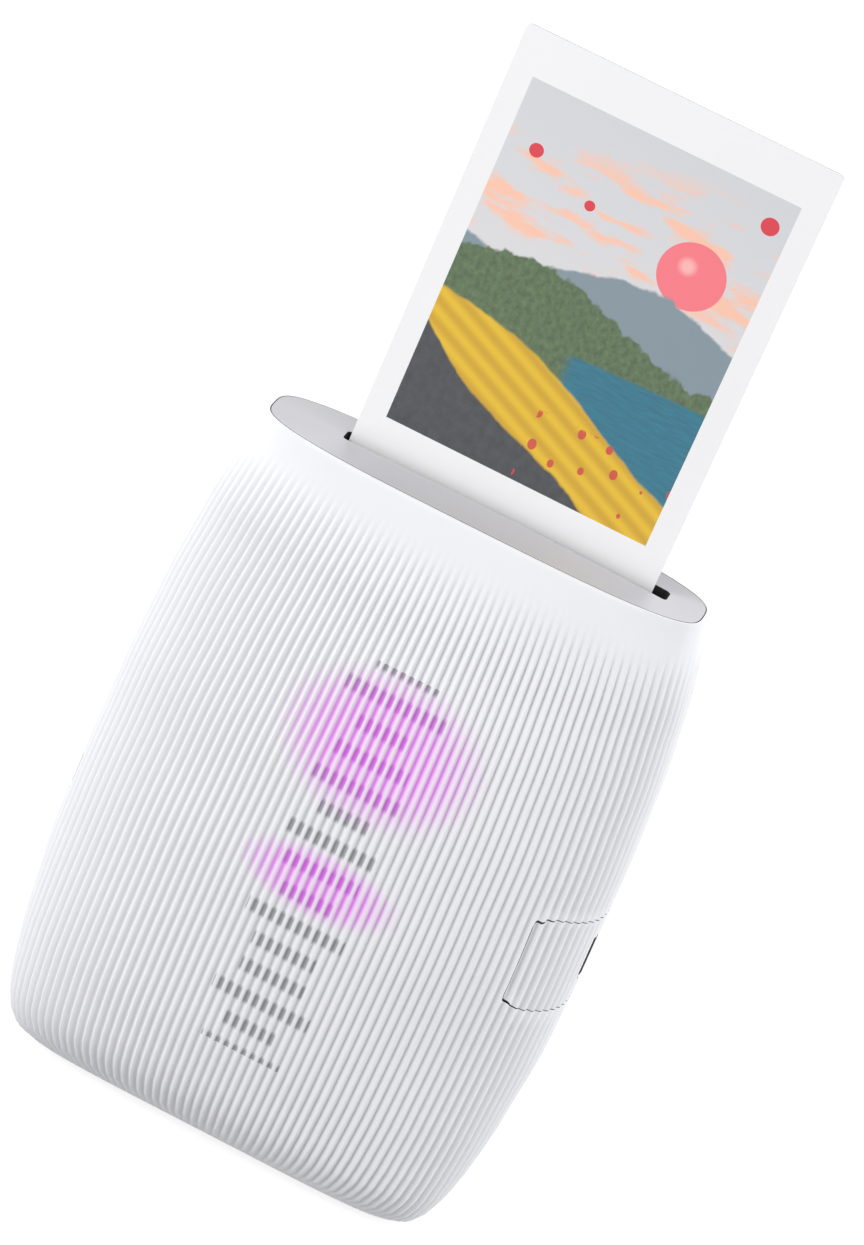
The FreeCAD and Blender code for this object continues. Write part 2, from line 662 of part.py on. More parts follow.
# Film door: a ribbed panel of the back with a barrel along its lower edge and a latch window
LATCH_TOP = DOOR_HIGH - LATCH_DROP
LATCH_LOW = LATCH_TOP - LATCH_HEIGHT
LATCH_OUT = surface_y(FEED_X, LATCH_TOP, BACK)
LATCH_IN = LATCH_OUT - SHELL_WALL - LATCH_THICK
TONGUE_IN = LATCH_IN - TONGUE_THICKNESS
latch_half = LATCH_WIDTH / 2
tongue_half = TONGUE_WIDTH / 2
barrel = plain_rod_x(BARREL_LEFT, BARREL_RIGHT, HINGE_Y, HINGE_Z, BARREL_RADIUS, ROD_SIDES)
web = box(BARREL_LEFT, BARREL_RIGHT, HINGE_Y - BARREL_RADIUS / 2, HINGE_Y + BARREL_RADIUS,
          HINGE_Z, DOOR_LOW + BARREL_CLEAR)
latch_window = slab_y(FEED_X - latch_half - SPLIT_GAP, FEED_X + latch_half + SPLIT_GAP,
                      LATCH_LOW - LATCH_TRAVEL - SPLIT_GAP, LATCH_TOP + SPLIT_GAP, LATCH_ROUND,
                      LATCH_IN - OVERRUN, FAR_BACK, chorded_face)
pin_way = rod_x(BARREL_LEFT, BARREL_RIGHT, HINGE_Y, HINGE_Z, HINGE_PIN_RADIUS + RUN_CLEAR)
film_door = back_wall.common(door_block(SPLIT_GAP, DOOR_LOW)).fuse([barrel, web])
film_door = film_door.cut([latch_window, pin_way])
save(film_door, "film_door")

# Door latch: a thumb slider with grip ridges and a tongue that catches behind the back shell
latch_face = box(FEED_X - latch_half, FEED_X + latch_half, LATCH_IN, LATCH_OUT, LATCH_LOW, LATCH_TOP)
ridge_step = LATCH_HEIGHT / LATCH_GRIP_COUNT
for i in range(LATCH_GRIP_COUNT):
    middle = LATCH_LOW + (i + 0.5) * ridge_step
    groove = box(FEED_X - latch_half, FEED_X + latch_half, LATCH_OUT - LATCH_GRIP,
                 LATCH_OUT, middle - ridge_step / 4, middle + ridge_step / 4)
    latch_face = latch_face.cut(groove)
tongue = box(FEED_X - tongue_half, FEED_X + tongue_half, TONGUE_IN, LATCH_IN, LATCH_LOW,
             DOOR_HIGH + TONGUE_REACH)
save(latch_face.fuse(tongue), "door_latch")

# Pressure leaves: two bent steel strips inside the door that press on the film pack
PRESS_MID = PACK_MID
LEAF_SHARES = (-0.5, -0.35, -0.1, 0.1, 0.35, 0.5)
press_leaves = []
for x in (FEED_X - PRESS_LEAF_SPREAD, FEED_X + PRESS_LEAF_SPREAD):
    seat_y = surface_y(abs(x) + PRESS_LEAF_WIDTH / 2, PRESS_MID + PRESS_LEAF_LENGTH / 2, BACK, SHELL_WALL)
    bow_y = PACK_BACK + PRESS_LEAF_CLEAR + LEAF_THICK
    tip_y = seat_y - LEAF_THICK
    places = (tip_y, tip_y, bow_y, bow_y, tip_y, tip_y)
    bow = [vec(x - PRESS_LEAF_WIDTH / 2, y, PRESS_MID + share * PRESS_LEAF_LENGTH)
           for share, y in zip(LEAF_SHARES, places)]
    press_leaves.append(strip(bow, LEAF_THICK, vec(PRESS_LEAF_WIDTH, 0, 0)))
save(Part.makeCompound(press_leaves), "pressure_leaves")

# Power button: the ribbed piece of both shells' wall, with a stem and a slit for its window
button_skin = shells.common(button_block(SPLIT_GAP))
STEM_Y = BOARD_FRONT - SWITCH_DEPTH / 2
STEM_TIP = BOARD_RIGHT + SWITCH_LENGTH + PLUNGER_LENGTH + BUTTON_TRAVEL + STEM_GAP
stem_root = surface_x(STEM_Y, BUTTON_MID, FRONT, SHELL_WALL / 2)
stem = plain_rod_x(STEM_TIP, stem_root, STEM_Y, BUTTON_MID, STEM_RADIUS, POST_SIDES)
window_x = surface_x(0, BUTTON_MID, FRONT) - SHELL_WALL - OVERRUN
slit = slab_x(-WINDOW_WIDTH / 2, WINDOW_WIDTH / 2, BUTTON_MID - WINDOW_HEIGHT / 2,
              BUTTON_MID + WINDOW_HEIGHT / 2, WINDOW_WIDTH / 2 * ROUND_SHARE, window_x,
              HALF_WIDTH + OVERRUN, chorded_face)
save(button_skin.fuse(stem).cut(slit), "power_button")

# Button window: a dark lens in the button's slit
lens = slab_x(-WINDOW_WIDTH / 2, WINDOW_WIDTH / 2, BUTTON_MID - WINDOW_HEIGHT / 2,
              BUTTON_MID + WINDOW_HEIGHT / 2, WINDOW_WIDTH / 2 * ROUND_SHARE,
              HALF_WIDTH - SHELL_WALL - WINDOW_SINK, HALF_WIDTH - WINDOW_SINK - RIB_DEPTH, chorded_face)
save(lens, "button_window")

# Button spring: a bent leaf between the chassis and the back of the button
spring_far = surface_x(BUTTON_LEAF_Y, BUTTON_MID, BACK, SHELL_WALL) - LEAF_THICK - BUTTON_LEAF_CLEAR
spring_near = RIGHT_WALL + CHASSIS_WALL + LEAF_THICK
low = BUTTON_MID - LEAF_WIDTH / 2
leaf_points = [vec(spring_near, BUTTON_LEAF_Y - LEAF_WIDTH, low), vec(spring_near, BUTTON_LEAF_Y, low),
               vec(spring_far, BUTTON_LEAF_Y - LEAF_WIDTH / 2, low), vec(spring_far, BUTTON_LEAF_Y, low)]
save(strip(leaf_points, LEAF_THICK, vec(0, 0, LEAF_WIDTH)), "button_spring")

# Top cap: the smooth crowned lid in the shells' rim, with the print slot and a skirt below
cap_levels = [cap_level(0, SEAT_Z), cap_level(0, RIM_Z - CAP_ROUND)]
for share in CROWN_SHARES:
    cap_levels.append(cap_level(CAP_ROUND, RIM_Z + CAP_CROWN * (1 - share ** 2), share))
cap = flat_sided(cap_levels)
skirt = cap_prism(SKIRT_INSET, SEAT_Z - SKIRT_HEIGHT, SEAT_Z + CAP_ROUND)
skirt = skirt.cut(cap_prism(SKIRT_INSET + SKIRT_WALL, SEAT_Z - SKIRT_HEIGHT - OVERRUN, SEAT_Z))
SLOT_LEFT = FILM_LEFT - SLOT_LEFT_SPACE
SLOT_RIGHT = FILM_RIGHT + SLOT_RIGHT_SPACE
slot = slab_z(SLOT_LEFT, SLOT_RIGHT, -SLOT_DEPTH / 2, SLOT_DEPTH / 2,
              SLOT_ROUND, SEAT_Z - OVERRUN, BODY_HEIGHT + OVERRUN, chorded_face)
save(cap.fuse(skirt).cut(slot), "top_cap")

# Light seals: two felt strips under the cap, one each side of the film
seals = []
for side in (FRONT, BACK):
    near = side * (FILM_THICK / 2 + PACK_FILM_CLEAR)
    far = near + side * SEAL_THICK
    seals.append(box(SLOT_LEFT, SLOT_RIGHT, min(near, far), max(near, far),
                     SEAT_Z - SEAL_HEIGHT, SEAT_Z))
save(Part.makeCompound(seals), "light_seals")

# Chassis: the frame behind the front shell that holds the film pack, carries the rollers and
# has the gears on pins of its own
EAR_TOP = ROLLER_Z + EAR_CORNER
PLATE_TOP = PACK_TOP + GUIDE_END
plate_left = LEFT_WALL - CHASSIS_WALL
plate_right = RIGHT_WALL + CHASSIS_WALL
chassis_parts = [
    box(plate_left, plate_right, PLATE_FRONT, PLATE_BACK, CHASSIS_FLOOR - CHASSIS_WALL, PLATE_TOP),
    box(plate_left, LEFT_WALL, PLATE_FRONT, BAY_DEPTH, CHASSIS_FLOOR - CHASSIS_WALL, PACK_TOP),
    box(RIGHT_WALL, plate_right, PLATE_FRONT, BAY_DEPTH, CHASSIS_FLOOR - CHASSIS_WALL, PACK_TOP),
    box(plate_left, plate_right, PLATE_FRONT, BAY_DEPTH, CHASSIS_FLOOR - CHASSIS_WALL, CHASSIS_FLOOR),
]


def ear(x0, front, low):
    outline = [(-front, low), (EAR_BACK, low), (EAR_BACK, ROLLER_Z),
               (EAR_BACK - EAR_CORNER, EAR_TOP), (-EAR_FRONT + EAR_CORNER, EAR_TOP), (-EAR_FRONT, ROLLER_Z),
               (-front, ROLLER_Z - front - EAR_CORNER)]
    points = [vec(x0, y, z) for y, z in outline]
    return Part.Face(Part.makePolygon(points + [points[0]])).extrude(vec(CHASSIS_WALL, 0, 0))


def on_circle(y, z, distance, drop_y):
    """A point at a distance from (y, z), drop_y to the front of it and lower."""
    return y - drop_y, z - math.sqrt(distance ** 2 - drop_y ** 2)


roller_spots = {"drive": (ROLLER_Y, ROLLER_Z), "pinch": (-ROLLER_Y, ROLLER_Z)}
idler_drop, second_drop, first_drop, motor_drop = (share * MODULE for share in TRAIN_SHARES)
IDLER_SPOT = on_circle(*roller_spots["drive"], MODULE * (ROLLER_TEETH + IDLER_TEETH) / 2, idler_drop)
SECOND_SPOT = on_circle(*IDLER_SPOT, MODULE * (IDLER_TEETH + SECOND_PINION_TEETH) / 2, second_drop)
FIRST_SPOT = on_circle(*SECOND_SPOT, MODULE * (SECOND_TEETH + FIRST_PINION_TEETH) / 2, first_drop)
MOTOR_SPOT = on_circle(*FIRST_SPOT, MODULE * (FIRST_TEETH + MOTOR_TEETH) / 2, motor_drop)
GEAR_SPOTS = (FIRST_SPOT, SECOND_SPOT, IDLER_SPOT)
motor_y, motor_z = MOTOR_SPOT
BOARD_TOP = motor_z - MOTOR_RADIUS - CHASSIS_WALL - BOARD_TOP_GAP
BOARD_HEIGHT = BOARD_TOP - BOARD_Z
gear_plate_front = -(motor_y - MOTOR_END_RADIUS - CHASSIS_WALL / 2)
chassis_parts.append(ear(plate_left, gear_plate_front, motor_z - MOTOR_RADIUS))
chassis_parts.append(ear(RIGHT_WALL, EAR_FRONT, PACK_TOP - EAR_CORNER))
for x, z in SCREWS:
    edge = plate_left if x < 0 else plate_right
    out = x - LUG_WIDTH / 2 + BOSS_RADIUS / 2 if x < 0 else x + LUG_WIDTH / 2 - BOSS_RADIUS / 2
    chassis_parts.append(box(min(edge, out), max(edge, out), PLATE_FRONT, PLATE_BACK,
                             z - LUG_WIDTH / 2, z + LUG_WIDTH / 2))
board_posts = [(BOARD_LEFT + BOARD_POST_INSET, BOARD_Z + BOARD_POST_INSET),
               (BOARD_RIGHT - BOARD_POST_INSET, BOARD_Z + BOARD_POST_INSET),
               (BOARD_LEFT + BOARD_POST_INSET, BOARD_Z + BOARD_HEIGHT - BOARD_POST_INSET),
               (BOARD_RIGHT - BOARD_POST_INSET, BOARD_Z + BOARD_HEIGHT - BOARD_POST_INSET)]
for x, z in board_posts:
    chassis_parts.append(plain_rod_y(BOARD_BACK, PLATE_FRONT, x, z, BOARD_POST_RADIUS, POST_SIDES))
LIGHT_LOW = BOARD_Z - LIGHT_END
LIGHT_HIGH = BOARD_Z + BOARD_HEIGHT + LIGHT_TOP
for x in (LIGHT_X - LIGHT_WIDTH / 4, LIGHT_X + LIGHT_WIDTH / 4):
    for z in (LIGHT_LOW + BOARD_POST_RADIUS, BOARD_Z + BOARD_HEIGHT + 2 * BOARD_POST_RADIUS):
        chassis_parts.append(plain_rod_y(LIGHT_BOARD_BACK, PLATE_FRONT, x, z, BOARD_POST_RADIUS, POST_SIDES))
CLAW_MID = FILM_LEFT + CLAW_INSET
rail_y = PLATE_FRONT - SEAT_CLEAR - CLAW_THICK - RAIL_CLEAR
HOOK_TOP = FILM_FOOT - HOOK_CLEAR
HOOK_LOW = HOOK_TOP - HOOK_HEIGHT
CLAW_TRAVEL = ROLLER_Z - (FILM_FOOT + FILM_HEIGHT) + GRIP_TRAVEL
for side in (-1, 1):
    inner = CLAW_MID + side * (CLAW_WIDTH / 2 + RAIL_CLEAR)
    outer = inner + side * RAIL_WIDTH
    chassis_parts.append(box(min(inner, outer), max(inner, outer), rail_y, PLATE_FRONT,
                             HOOK_LOW, HOOK_LOW + CLAW_HEIGHT))
motor_seat = box(plate_left, plate_left + MOTOR_LENGTH, motor_y, PLATE_FRONT,
                 motor_z - MOTOR_RADIUS - CHASSIS_WALL, motor_z)
motor_room = rod_x(LEFT_WALL, LEFT_WALL + MOTOR_LENGTH, motor_y, motor_z, MOTOR_RADIUS + SEAT_CLEAR)
pin_ends = (LAYER_TWO - GEAR_WIDTH, LAYER_TWO - GEAR_WIDTH, LAYER_ONE - GEAR_WIDTH)
for (y, z), pin_end in zip(GEAR_SPOTS, pin_ends):
    chassis_parts.append(rod_x(pin_end - RUN_CLEAR, plate_left, y, z, PIN_RADIUS))
    chassis_parts.append(plain_rod_x(pin_end - RUN_CLEAR - PIN_HEAD, pin_end - RUN_CLEAR, y, z,
                                     PIN_HEAD_RADIUS, ROD_SIDES))
chassis = chassis_parts[0].fuse(chassis_parts[1:] + [motor_seat]).removeSplitter()
hook_way = box(CLAW_MID - HOOK_WIDTH / 2 - HOOK_CLEAR, CLAW_MID + HOOK_WIDTH / 2 + HOOK_CLEAR, PLATE_FRONT,
               PLATE_BACK, HOOK_LOW - HOOK_CLEAR, HOOK_TOP + CLAW_TRAVEL + HOOK_CLEAR)
cable_way = box(FILM_RIGHT + PACK_FILM_CLEAR, FILM_RIGHT + PACK_FILM_CLEAR + CABLE_WIDTH + SPLIT_GAP * 2,
                PLATE_FRONT, PLATE_BACK, PACK_TOP, PACK_TOP + HEAD_LIFT)
chassis_cuts = [motor_room, hook_way, cable_way]
for y, z in roller_spots.values():
    chassis_cuts.append(rod_x(plate_left, plate_right, y, z, SHAFT_RADIUS + RUN_CLEAR))
chassis_cuts.append(rod_x(plate_left, LEFT_WALL, motor_y, motor_z, MOTOR_END_RADIUS + SEAT_CLEAR))
for x, z in SCREWS:
    chassis_cuts.append(plain_rod_y(PLATE_FRONT, PLATE_BACK, x, z, SCREW_RADIUS + RUN_CLEAR, ROD_SIDES))
save(chassis.cut(chassis_cuts), "chassis")

# Case screws: pan heads on the chassis lugs, shanks in the front shell's bosses
screws = []
for x, z in SCREWS:
    head = plain_rod_y(PLATE_BACK, PLATE_BACK + SCREW_HEAD, x, z, SCREW_HEAD_RADIUS, ROD_SIDES)
    shank = plain_rod_y(PLATE_FRONT - SCREW_LENGTH + OVERRUN / 2, PLATE_BACK, x, z, SCREW_RADIUS, ROD_SIDES)
    screws.append(head.fuse(shank))
save(Part.makeCompound(screws), "case_screws")

# Film pack: a thin black case with a window, an exit slit and two openings at its back
pack = box(PACK_LEFT, PACK_RIGHT, PACK_FRONT, PACK_BACK, PACK_FLOOR, PACK_TOP)
CAVITY_FRONT = PACK_FRONT + PACK_FRONT_WALL
film_room = box(FILM_LEFT - PACK_FILM_CLEAR, FILM_RIGHT + PACK_FILM_CLEAR, CAVITY_FRONT,
                PACK_BACK - PACK_BACK_WALL, FILM_FOOT - PACK_FILM_CLEAR,
                FILM_FOOT + FILM_HEIGHT + PACK_FILM_CLEAR)
exit_slit = box(FILM_LEFT - PACK_FILM_CLEAR, FILM_RIGHT + PACK_FILM_CLEAR, CAVITY_FRONT,
                -CAVITY_FRONT, FILM_FOOT, PACK_TOP)
pack_cuts = [film_room, exit_slit]
pack_cuts.append(box(CLAW_MID - HOOK_WIDTH / 2 - HOOK_CLEAR, CLAW_MID + HOOK_WIDTH / 2 + HOOK_CLEAR,
                     PACK_FRONT, HOOK_REACH + HOOK_CLEAR / 2, HOOK_LOW - HOOK_CLEAR,
                     HOOK_TOP + CLAW_TRAVEL + HOOK_CLEAR))
BACK_WINDOW_WIDTH = PRESS_LEAF_WIDTH + PACK_SIDE_WALL
for x in (FEED_X - PRESS_LEAF_SPREAD, FEED_X + PRESS_LEAF_SPREAD):
    pack_cuts.append(box(x - BACK_WINDOW_WIDTH / 2, x + BACK_WINDOW_WIDTH / 2, PACK_BACK - PACK_BACK_WALL,
                         PACK_BACK, PRESS_MID - PRESS_LEAF_LENGTH / 2, PRESS_MID + PRESS_LEAF_LENGTH / 2))
save(pack.cut(pack_cuts), "film_pack")

# Film stack: the sheets still in the pack, and the backing plate and bow behind them
STACK_FRONT = FILM_THICK / 2 + STACK_CLEAR
STACK_BACK = STACK_FRONT + STACK_DEPTH
save(box(FILM_LEFT, FILM_RIGHT, STACK_FRONT, STACK_BACK, FILM_FOOT, FILM_FOOT + FILM_HEIGHT), "film_stack")
bow_far = PACK_BACK - PACK_BACK_WALL - LEAF_THICK
bow_near = STACK_BACK + LEAF_THICK
BOW_SHARES = (-0.5, -0.25, -0.12, 0.12, 0.25, 0.5)
bow_places = (bow_near, bow_near, bow_far, bow_far, bow_near, bow_near)
bow = [vec(FILM_LEFT, y, PRESS_MID + share * FILM_HEIGHT) for share, y in zip(BOW_SHARES, bow_places)]
save(strip(bow, LEAF_THICK, vec(FILM_WIDTH, 0, 0)), "pack_spring")

# Print: the finished sheet of film that stands in the slot
save(slab_y(FILM_LEFT, FILM_RIGHT, PRINT_FOOT, PRINT_FOOT + FILM_HEIGHT, FILM_CORNER,
            -FILM_THICK / 2, FILM_THICK / 2), "print")

# Film claw: a steel slider whose hook lifts the first sheet by its lower edge
claw_back = PLATE_FRONT - SEAT_CLEAR
claw_strip = box(CLAW_MID - CLAW_WIDTH / 2, CLAW_MID + CLAW_WIDTH / 2, claw_back - CLAW_THICK, claw_back,
                 HOOK_LOW, HOOK_LOW + CLAW_HEIGHT)
claw_hook = box(CLAW_MID - HOOK_WIDTH / 2, CLAW_MID + HOOK_WIDTH / 2, claw_back, HOOK_REACH,
                HOOK_LOW, HOOK_TOP)
save(claw_strip.fuse(claw_hook).removeSplitter(), "film_claw")

# Print head: the bar of light cells behind the film, with its strip of lenses
HEAD_Z = PACK_TOP + HEAD_LIFT
HEAD_FRONT = FILM_THICK / 2 + HEAD_CLEAR
head = box(LEFT_WALL, RIGHT_WALL, HEAD_FRONT, HEAD_FRONT + HEAD_DEPTH, HEAD_Z, HEAD_Z + HEAD_HEIGHT)
back_edges = [edge for edge in head.Edges
              if edge.BoundBox.YMin > HEAD_FRONT and edge.Length > HEAD_DEPTH * 2]
save(head.makeChamfer(HEAD_CHAMFER, back_edges), "print_head")
lens_z = HEAD_Z + HEAD_HEIGHT / 2
save(box(FILM_LEFT - PACK_FILM_CLEAR, FILM_RIGHT + PACK_FILM_CLEAR, HEAD_FRONT - LENS_DEPTH, HEAD_FRONT,
         lens_z - LENS_HEIGHT / 2, lens_z + LENS_HEIGHT / 2), "head_lens")

# Head cable: a flat ribbon from the head past the film's edge to the main board
cable_left = FILM_RIGHT + PACK_FILM_CLEAR + SPLIT_GAP
cable_level = (PACK_TOP + HEAD_Z) / 2
cable_front = PLATE_FRONT - CABLE_THICK * 2
cable_run = [vec(cable_left, HEAD_FRONT + HEAD_DEPTH / 2, HEAD_Z - CABLE_THICK / 2),
             vec(cable_left, HEAD_FRONT, HEAD_Z - CABLE_THICK / 2),
             vec(cable_left, PLATE_BACK, cable_level), vec(cable_left, cable_front, cable_level),
             vec(cable_left, cable_front, BOARD_Z + BOARD_HEIGHT)]
save(strip(cable_run, CABLE_THICK, vec(CABLE_WIDTH, 0, 0)), "head_cable")


# Gears: trapezium teeth on a disc, phased so that every pair meshes at rest
def gear(teeth, x0, width, spot, phase, bore):
    y, z = spot
    pitch_radius = MODULE * teeth / 2
    tip_radius = pitch_radius + MODULE * GEAR_ADDENDUM_SHARE
    root_radius = pitch_radius - MODULE * GEAR_DEDENDUM_SHARE
    points = []
    for i in range(teeth):
        middle = phase + 2 * math.pi * i / teeth
        for radius, share in ((root_radius, -ROOT_SHARE), (tip_radius, -TIP_SHARE),
                              (tip_radius, TIP_SHARE), (root_radius, ROOT_SHARE)):
            angle = middle + share * math.pi / teeth
            points.append(vec(x0, y + radius * math.cos(angle), z + radius * math.sin(angle)))
    blank = Part.Face(Part.makePolygon(points + [points[0]])).extrude(vec(width, 0, 0))
    return blank.cut(rod_x(x0, x0 + width, y, z, bore)) if bore else blank


def mesh_phase(spot, teeth, phase, other_spot, other_teeth):
    """The phase that puts a gap of the other gear on a tooth of this one."""
    toward = math.atan2(other_spot[1] - spot[1], other_spot[0] - spot[0])
    own = (toward - phase) * teeth / (2 * math.pi)
    return toward + math.pi - (0.5 - own) * 2 * math.pi / other_teeth


drive_phase = 0
drive_spot = roller_spots["drive"]
pinch_phase = mesh_phase(drive_spot, ROLLER_TEETH, drive_phase, roller_spots["pinch"], ROLLER_TEETH)
idler_phase = mesh_phase(drive_spot, ROLLER_TEETH, drive_phase, IDLER_SPOT, IDLER_TEETH)
second_pinion_phase = mesh_phase(IDLER_SPOT, IDLER_TEETH, idler_phase, SECOND_SPOT, SECOND_PINION_TEETH)
second_phase = 0
first_pinion_phase = mesh_phase(SECOND_SPOT, SECOND_TEETH, second_phase, FIRST_SPOT, FIRST_PINION_TEETH)
first_phase = 0
motor_phase = mesh_phase(FIRST_SPOT, FIRST_TEETH, first_phase, MOTOR_SPOT, MOTOR_TEETH)
layer_one_left = LAYER_ONE - GEAR_WIDTH
layer_two_left = LAYER_TWO - GEAR_WIDTH
bore = PIN_RADIUS + RUN_CLEAR


def compound_gear(wheel, wheel_left, wheel_phase, pinion, pinion_left, pinion_phase, spot):
    """A wheel and a pinion moulded as one, joined by a hub across the gap between the layers."""
    hub_radius = MODULE * (pinion / 2 - GEAR_DEDENDUM_SHARE)
    solid = gear(wheel, wheel_left, GEAR_WIDTH, spot, wheel_phase, 0)
    solid = solid.fuse(gear(pinion, pinion_left, GEAR_WIDTH, spot, pinion_phase, 0))
    solid = solid.fuse(rod_x(LAYER_TWO, layer_one_left, *spot, hub_radius))
    return solid.cut(rod_x(layer_two_left, LAYER_ONE, *spot, bore))


save(compound_gear(FIRST_TEETH, layer_one_left, first_phase, FIRST_PINION_TEETH, layer_two_left,
                   first_pinion_phase, FIRST_SPOT), "first_gear")
save(compound_gear(SECOND_TEETH, layer_two_left, second_phase, SECOND_PINION_TEETH, layer_one_left,
                   second_pinion_phase, SECOND_SPOT), "second_gear")
save(gear(IDLER_TEETH, layer_one_left, GEAR_WIDTH, IDLER_SPOT, idler_phase, bore), "idler_gear")
motor_pinion = gear(MOTOR_TEETH, layer_one_left, GEAR_WIDTH, MOTOR_SPOT, motor_phase, MOTOR_SHAFT_RADIUS)
save(motor_pinion, "motor_pinion")

# Motor: a small can with its shaft through the gear plate
motor_right = LEFT_WALL + MOTOR_LENGTH
can = rod_x(LEFT_WALL, motor_right, motor_y, motor_z, MOTOR_RADIUS)
flat = MOTOR_RADIUS * MOTOR_FLAT_SHARE
can = can.common(box(LEFT_WALL, motor_right, motor_y - MOTOR_RADIUS, motor_y + MOTOR_RADIUS,
                     motor_z - MOTOR_RADIUS, motor_z + flat))
nose = rod_x(plate_left, LEFT_WALL, motor_y, motor_z, MOTOR_END_RADIUS)
shaft_way = rod_x(plate_left, LEFT_WALL + SHAFT_END, motor_y, motor_z, MOTOR_SHAFT_RADIUS + RUN_CLEAR)
save(can.fuse(nose).cut(shaft_way), "motor")
motor_shaft = rod_x(layer_one_left, LEFT_WALL + SHAFT_END - RUN_CLEAR, motor_y, motor_z,
                    MOTOR_SHAFT_RADIUS)
save(motor_shaft, "motor_shaft")

# Rollers: steel shafts with rubber sleeves, each with its gear, running in the chassis
for name, phase in (("drive", drive_phase), ("pinch", pinch_phase)):
    y, z = roller_spots[name]
    sleeve_left = FEED_X - ROLLER_LENGTH / 2
    sleeve = rod_x(sleeve_left, sleeve_left + ROLLER_LENGTH, y, z, ROLLER_RADIUS)
    save(rod_x(layer_one_left, plate_right + SHAFT_END, y, z, SHAFT_RADIUS), name + "_shaft")
    save(sleeve.cut(rod_x(sleeve_left, sleeve_left + ROLLER_LENGTH, y, z, SHAFT_RADIUS)), name + "_sleeve")
    save(gear(ROLLER_TEETH, layer_one_left, GEAR_WIDTH, (y, z), phase, SHAFT_RADIUS), name + "_gear")

# Main board with tabs for the charging socket and the switch
board = slab_y(BOARD_LEFT, BOARD_RIGHT, BOARD_Z, BOARD_Z + BOARD_HEIGHT, BATTERY_ROUND,
               BOARD_FRONT, BOARD_BACK)
socket_tab = box(SOCKET_MOUTH + SOCKET_LENGTH / 2, BOARD_LEFT + BATTERY_ROUND, BOARD_FRONT, BOARD_BACK,
                 SOCKET_Z - SOCKET_WIDTH * TAB_SHARE, SOCKET_Z + SOCKET_WIDTH * TAB_SHARE)
switch_tab = box(BOARD_RIGHT - BATTERY_ROUND, BOARD_RIGHT + SWITCH_LENGTH, BOARD_FRONT, BOARD_BACK,
                 BUTTON_MID - SWITCH_SIDE, BUTTON_MID + SWITCH_SIDE)
save(board.fuse([socket_tab, switch_tab]).removeSplitter(), "main_board")

# Board parts: the shielded radio, the memory and the charging chips on the board's front
CHIP_SHARES = ((0.88, 0.30, 1.0), (0.88, 0.62, 0.7), (0.86, 0.85, 0.5), (0.12, 0.95, 0.4))
chips = []
for x_share, z_share, size_share in CHIP_SHARES:
    x = BOARD_LEFT + x_share * (BOARD_RIGHT - BOARD_LEFT)
    z = BOARD_Z + z_share * BOARD_HEIGHT
    half = CHIP_SIZE * size_share / 2
    chips.append(box(x - half, x + half, BOARD_FRONT - CHIP_HEIGHT, BOARD_FRONT, z - half, z + half))
save(Part.makeCompound(chips), "board_chips")

# Charging socket: a steel shell with rounded sides and a tongue in the middle
socket_right = SOCKET_MOUTH + SOCKET_LENGTH
shell = socket_block(0, SOCKET_MOUTH, socket_right)
shell = shell.cut(socket_block(-SOCKET_WALL, SOCKET_MOUTH, socket_right - SOCKET_WALL * 3))
tongue = box(SOCKET_MOUTH + SOCKET_WALL, socket_right - SOCKET_WALL * 2, SOCKET_Y - TONGUE_THICK / 2,
             SOCKET_Y + TONGUE_THICK / 2, SOCKET_Z - SOCKET_WIDTH * TONGUE_SHARE,
             SOCKET_Z + SOCKET_WIDTH * TONGUE_SHARE)
save(shell.fuse(tongue), "charging_socket")

# Switch behind the button, on the board's right tab
switch = box(BOARD_RIGHT, BOARD_RIGHT + SWITCH_LENGTH, BOARD_FRONT - SWITCH_DEPTH, BOARD_FRONT,
             BUTTON_MID - SWITCH_SIDE / 2, BUTTON_MID + SWITCH_SIDE / 2)
plunger = rod_x(BOARD_RIGHT + SWITCH_LENGTH, BOARD_RIGHT + SWITCH_LENGTH + PLUNGER_LENGTH,
                STEM_Y, BUTTON_MID, PLUNGER_RADIUS)
save(switch.fuse(plunger), "switch")

# Battery: a flat pouch cell in front of the main board
BATTERY_LEFT = BOARD_LEFT + BATTERY_SHIFT
BATTERY_LOW = BOARD_Z + BATTERY_END_SPACE
BATTERY_HIGH = BOARD_TOP - BATTERY_END_SPACE
battery = box(BATTERY_LEFT, BATTERY_LEFT + BATTERY_WIDTH, BATTERY_FRONT, BATTERY_BACK,
              BATTERY_LOW, BATTERY_HIGH)
long_edges = [edge for edge in battery.Edges if abs(edge.tangentAt(edge.FirstParameter).z) > math.sqrt(0.5)]
save(battery.makeFillet(BATTERY_ROUND, long_edges), "battery")

# Light board with its lamps, and the milky diffuser close behind the front shell
save(slab_y(LIGHT_X - LIGHT_WIDTH / 2, LIGHT_X + LIGHT_WIDTH / 2, LIGHT_LOW, LIGHT_HIGH, BATTERY_ROUND,
            LIGHT_BOARD_FRONT, LIGHT_BOARD_BACK), "light_board")
lamps = []
lamp_step = (LIGHT_HIGH - LIGHT_LOW) / (LAMP_COUNT + 1)
for i in range(LAMP_COUNT):
    z = LIGHT_LOW + (i + 1) * lamp_step
    lamps.append(box(LIGHT_X - LAMP_SIZE / 2, LIGHT_X + LAMP_SIZE / 2, LIGHT_BOARD_FRONT - LAMP_HEIGHT,
                     LIGHT_BOARD_FRONT, z - LAMP_SIZE / 2, z + LAMP_SIZE / 2))
save(Part.makeCompound(lamps), "lamps")
outer_skin = inner_form(SHELL_WALL + DIFFUSER_CLEAR, FLOOR_WALL + DIFFUSER_CLEAR, SEAT_Z)
inner_skin = inner_form(SHELL_WALL + DIFFUSER_CLEAR + DIFFUSER_WALL, FLOOR_WALL + DIFFUSER_CLEAR, SEAT_Z)
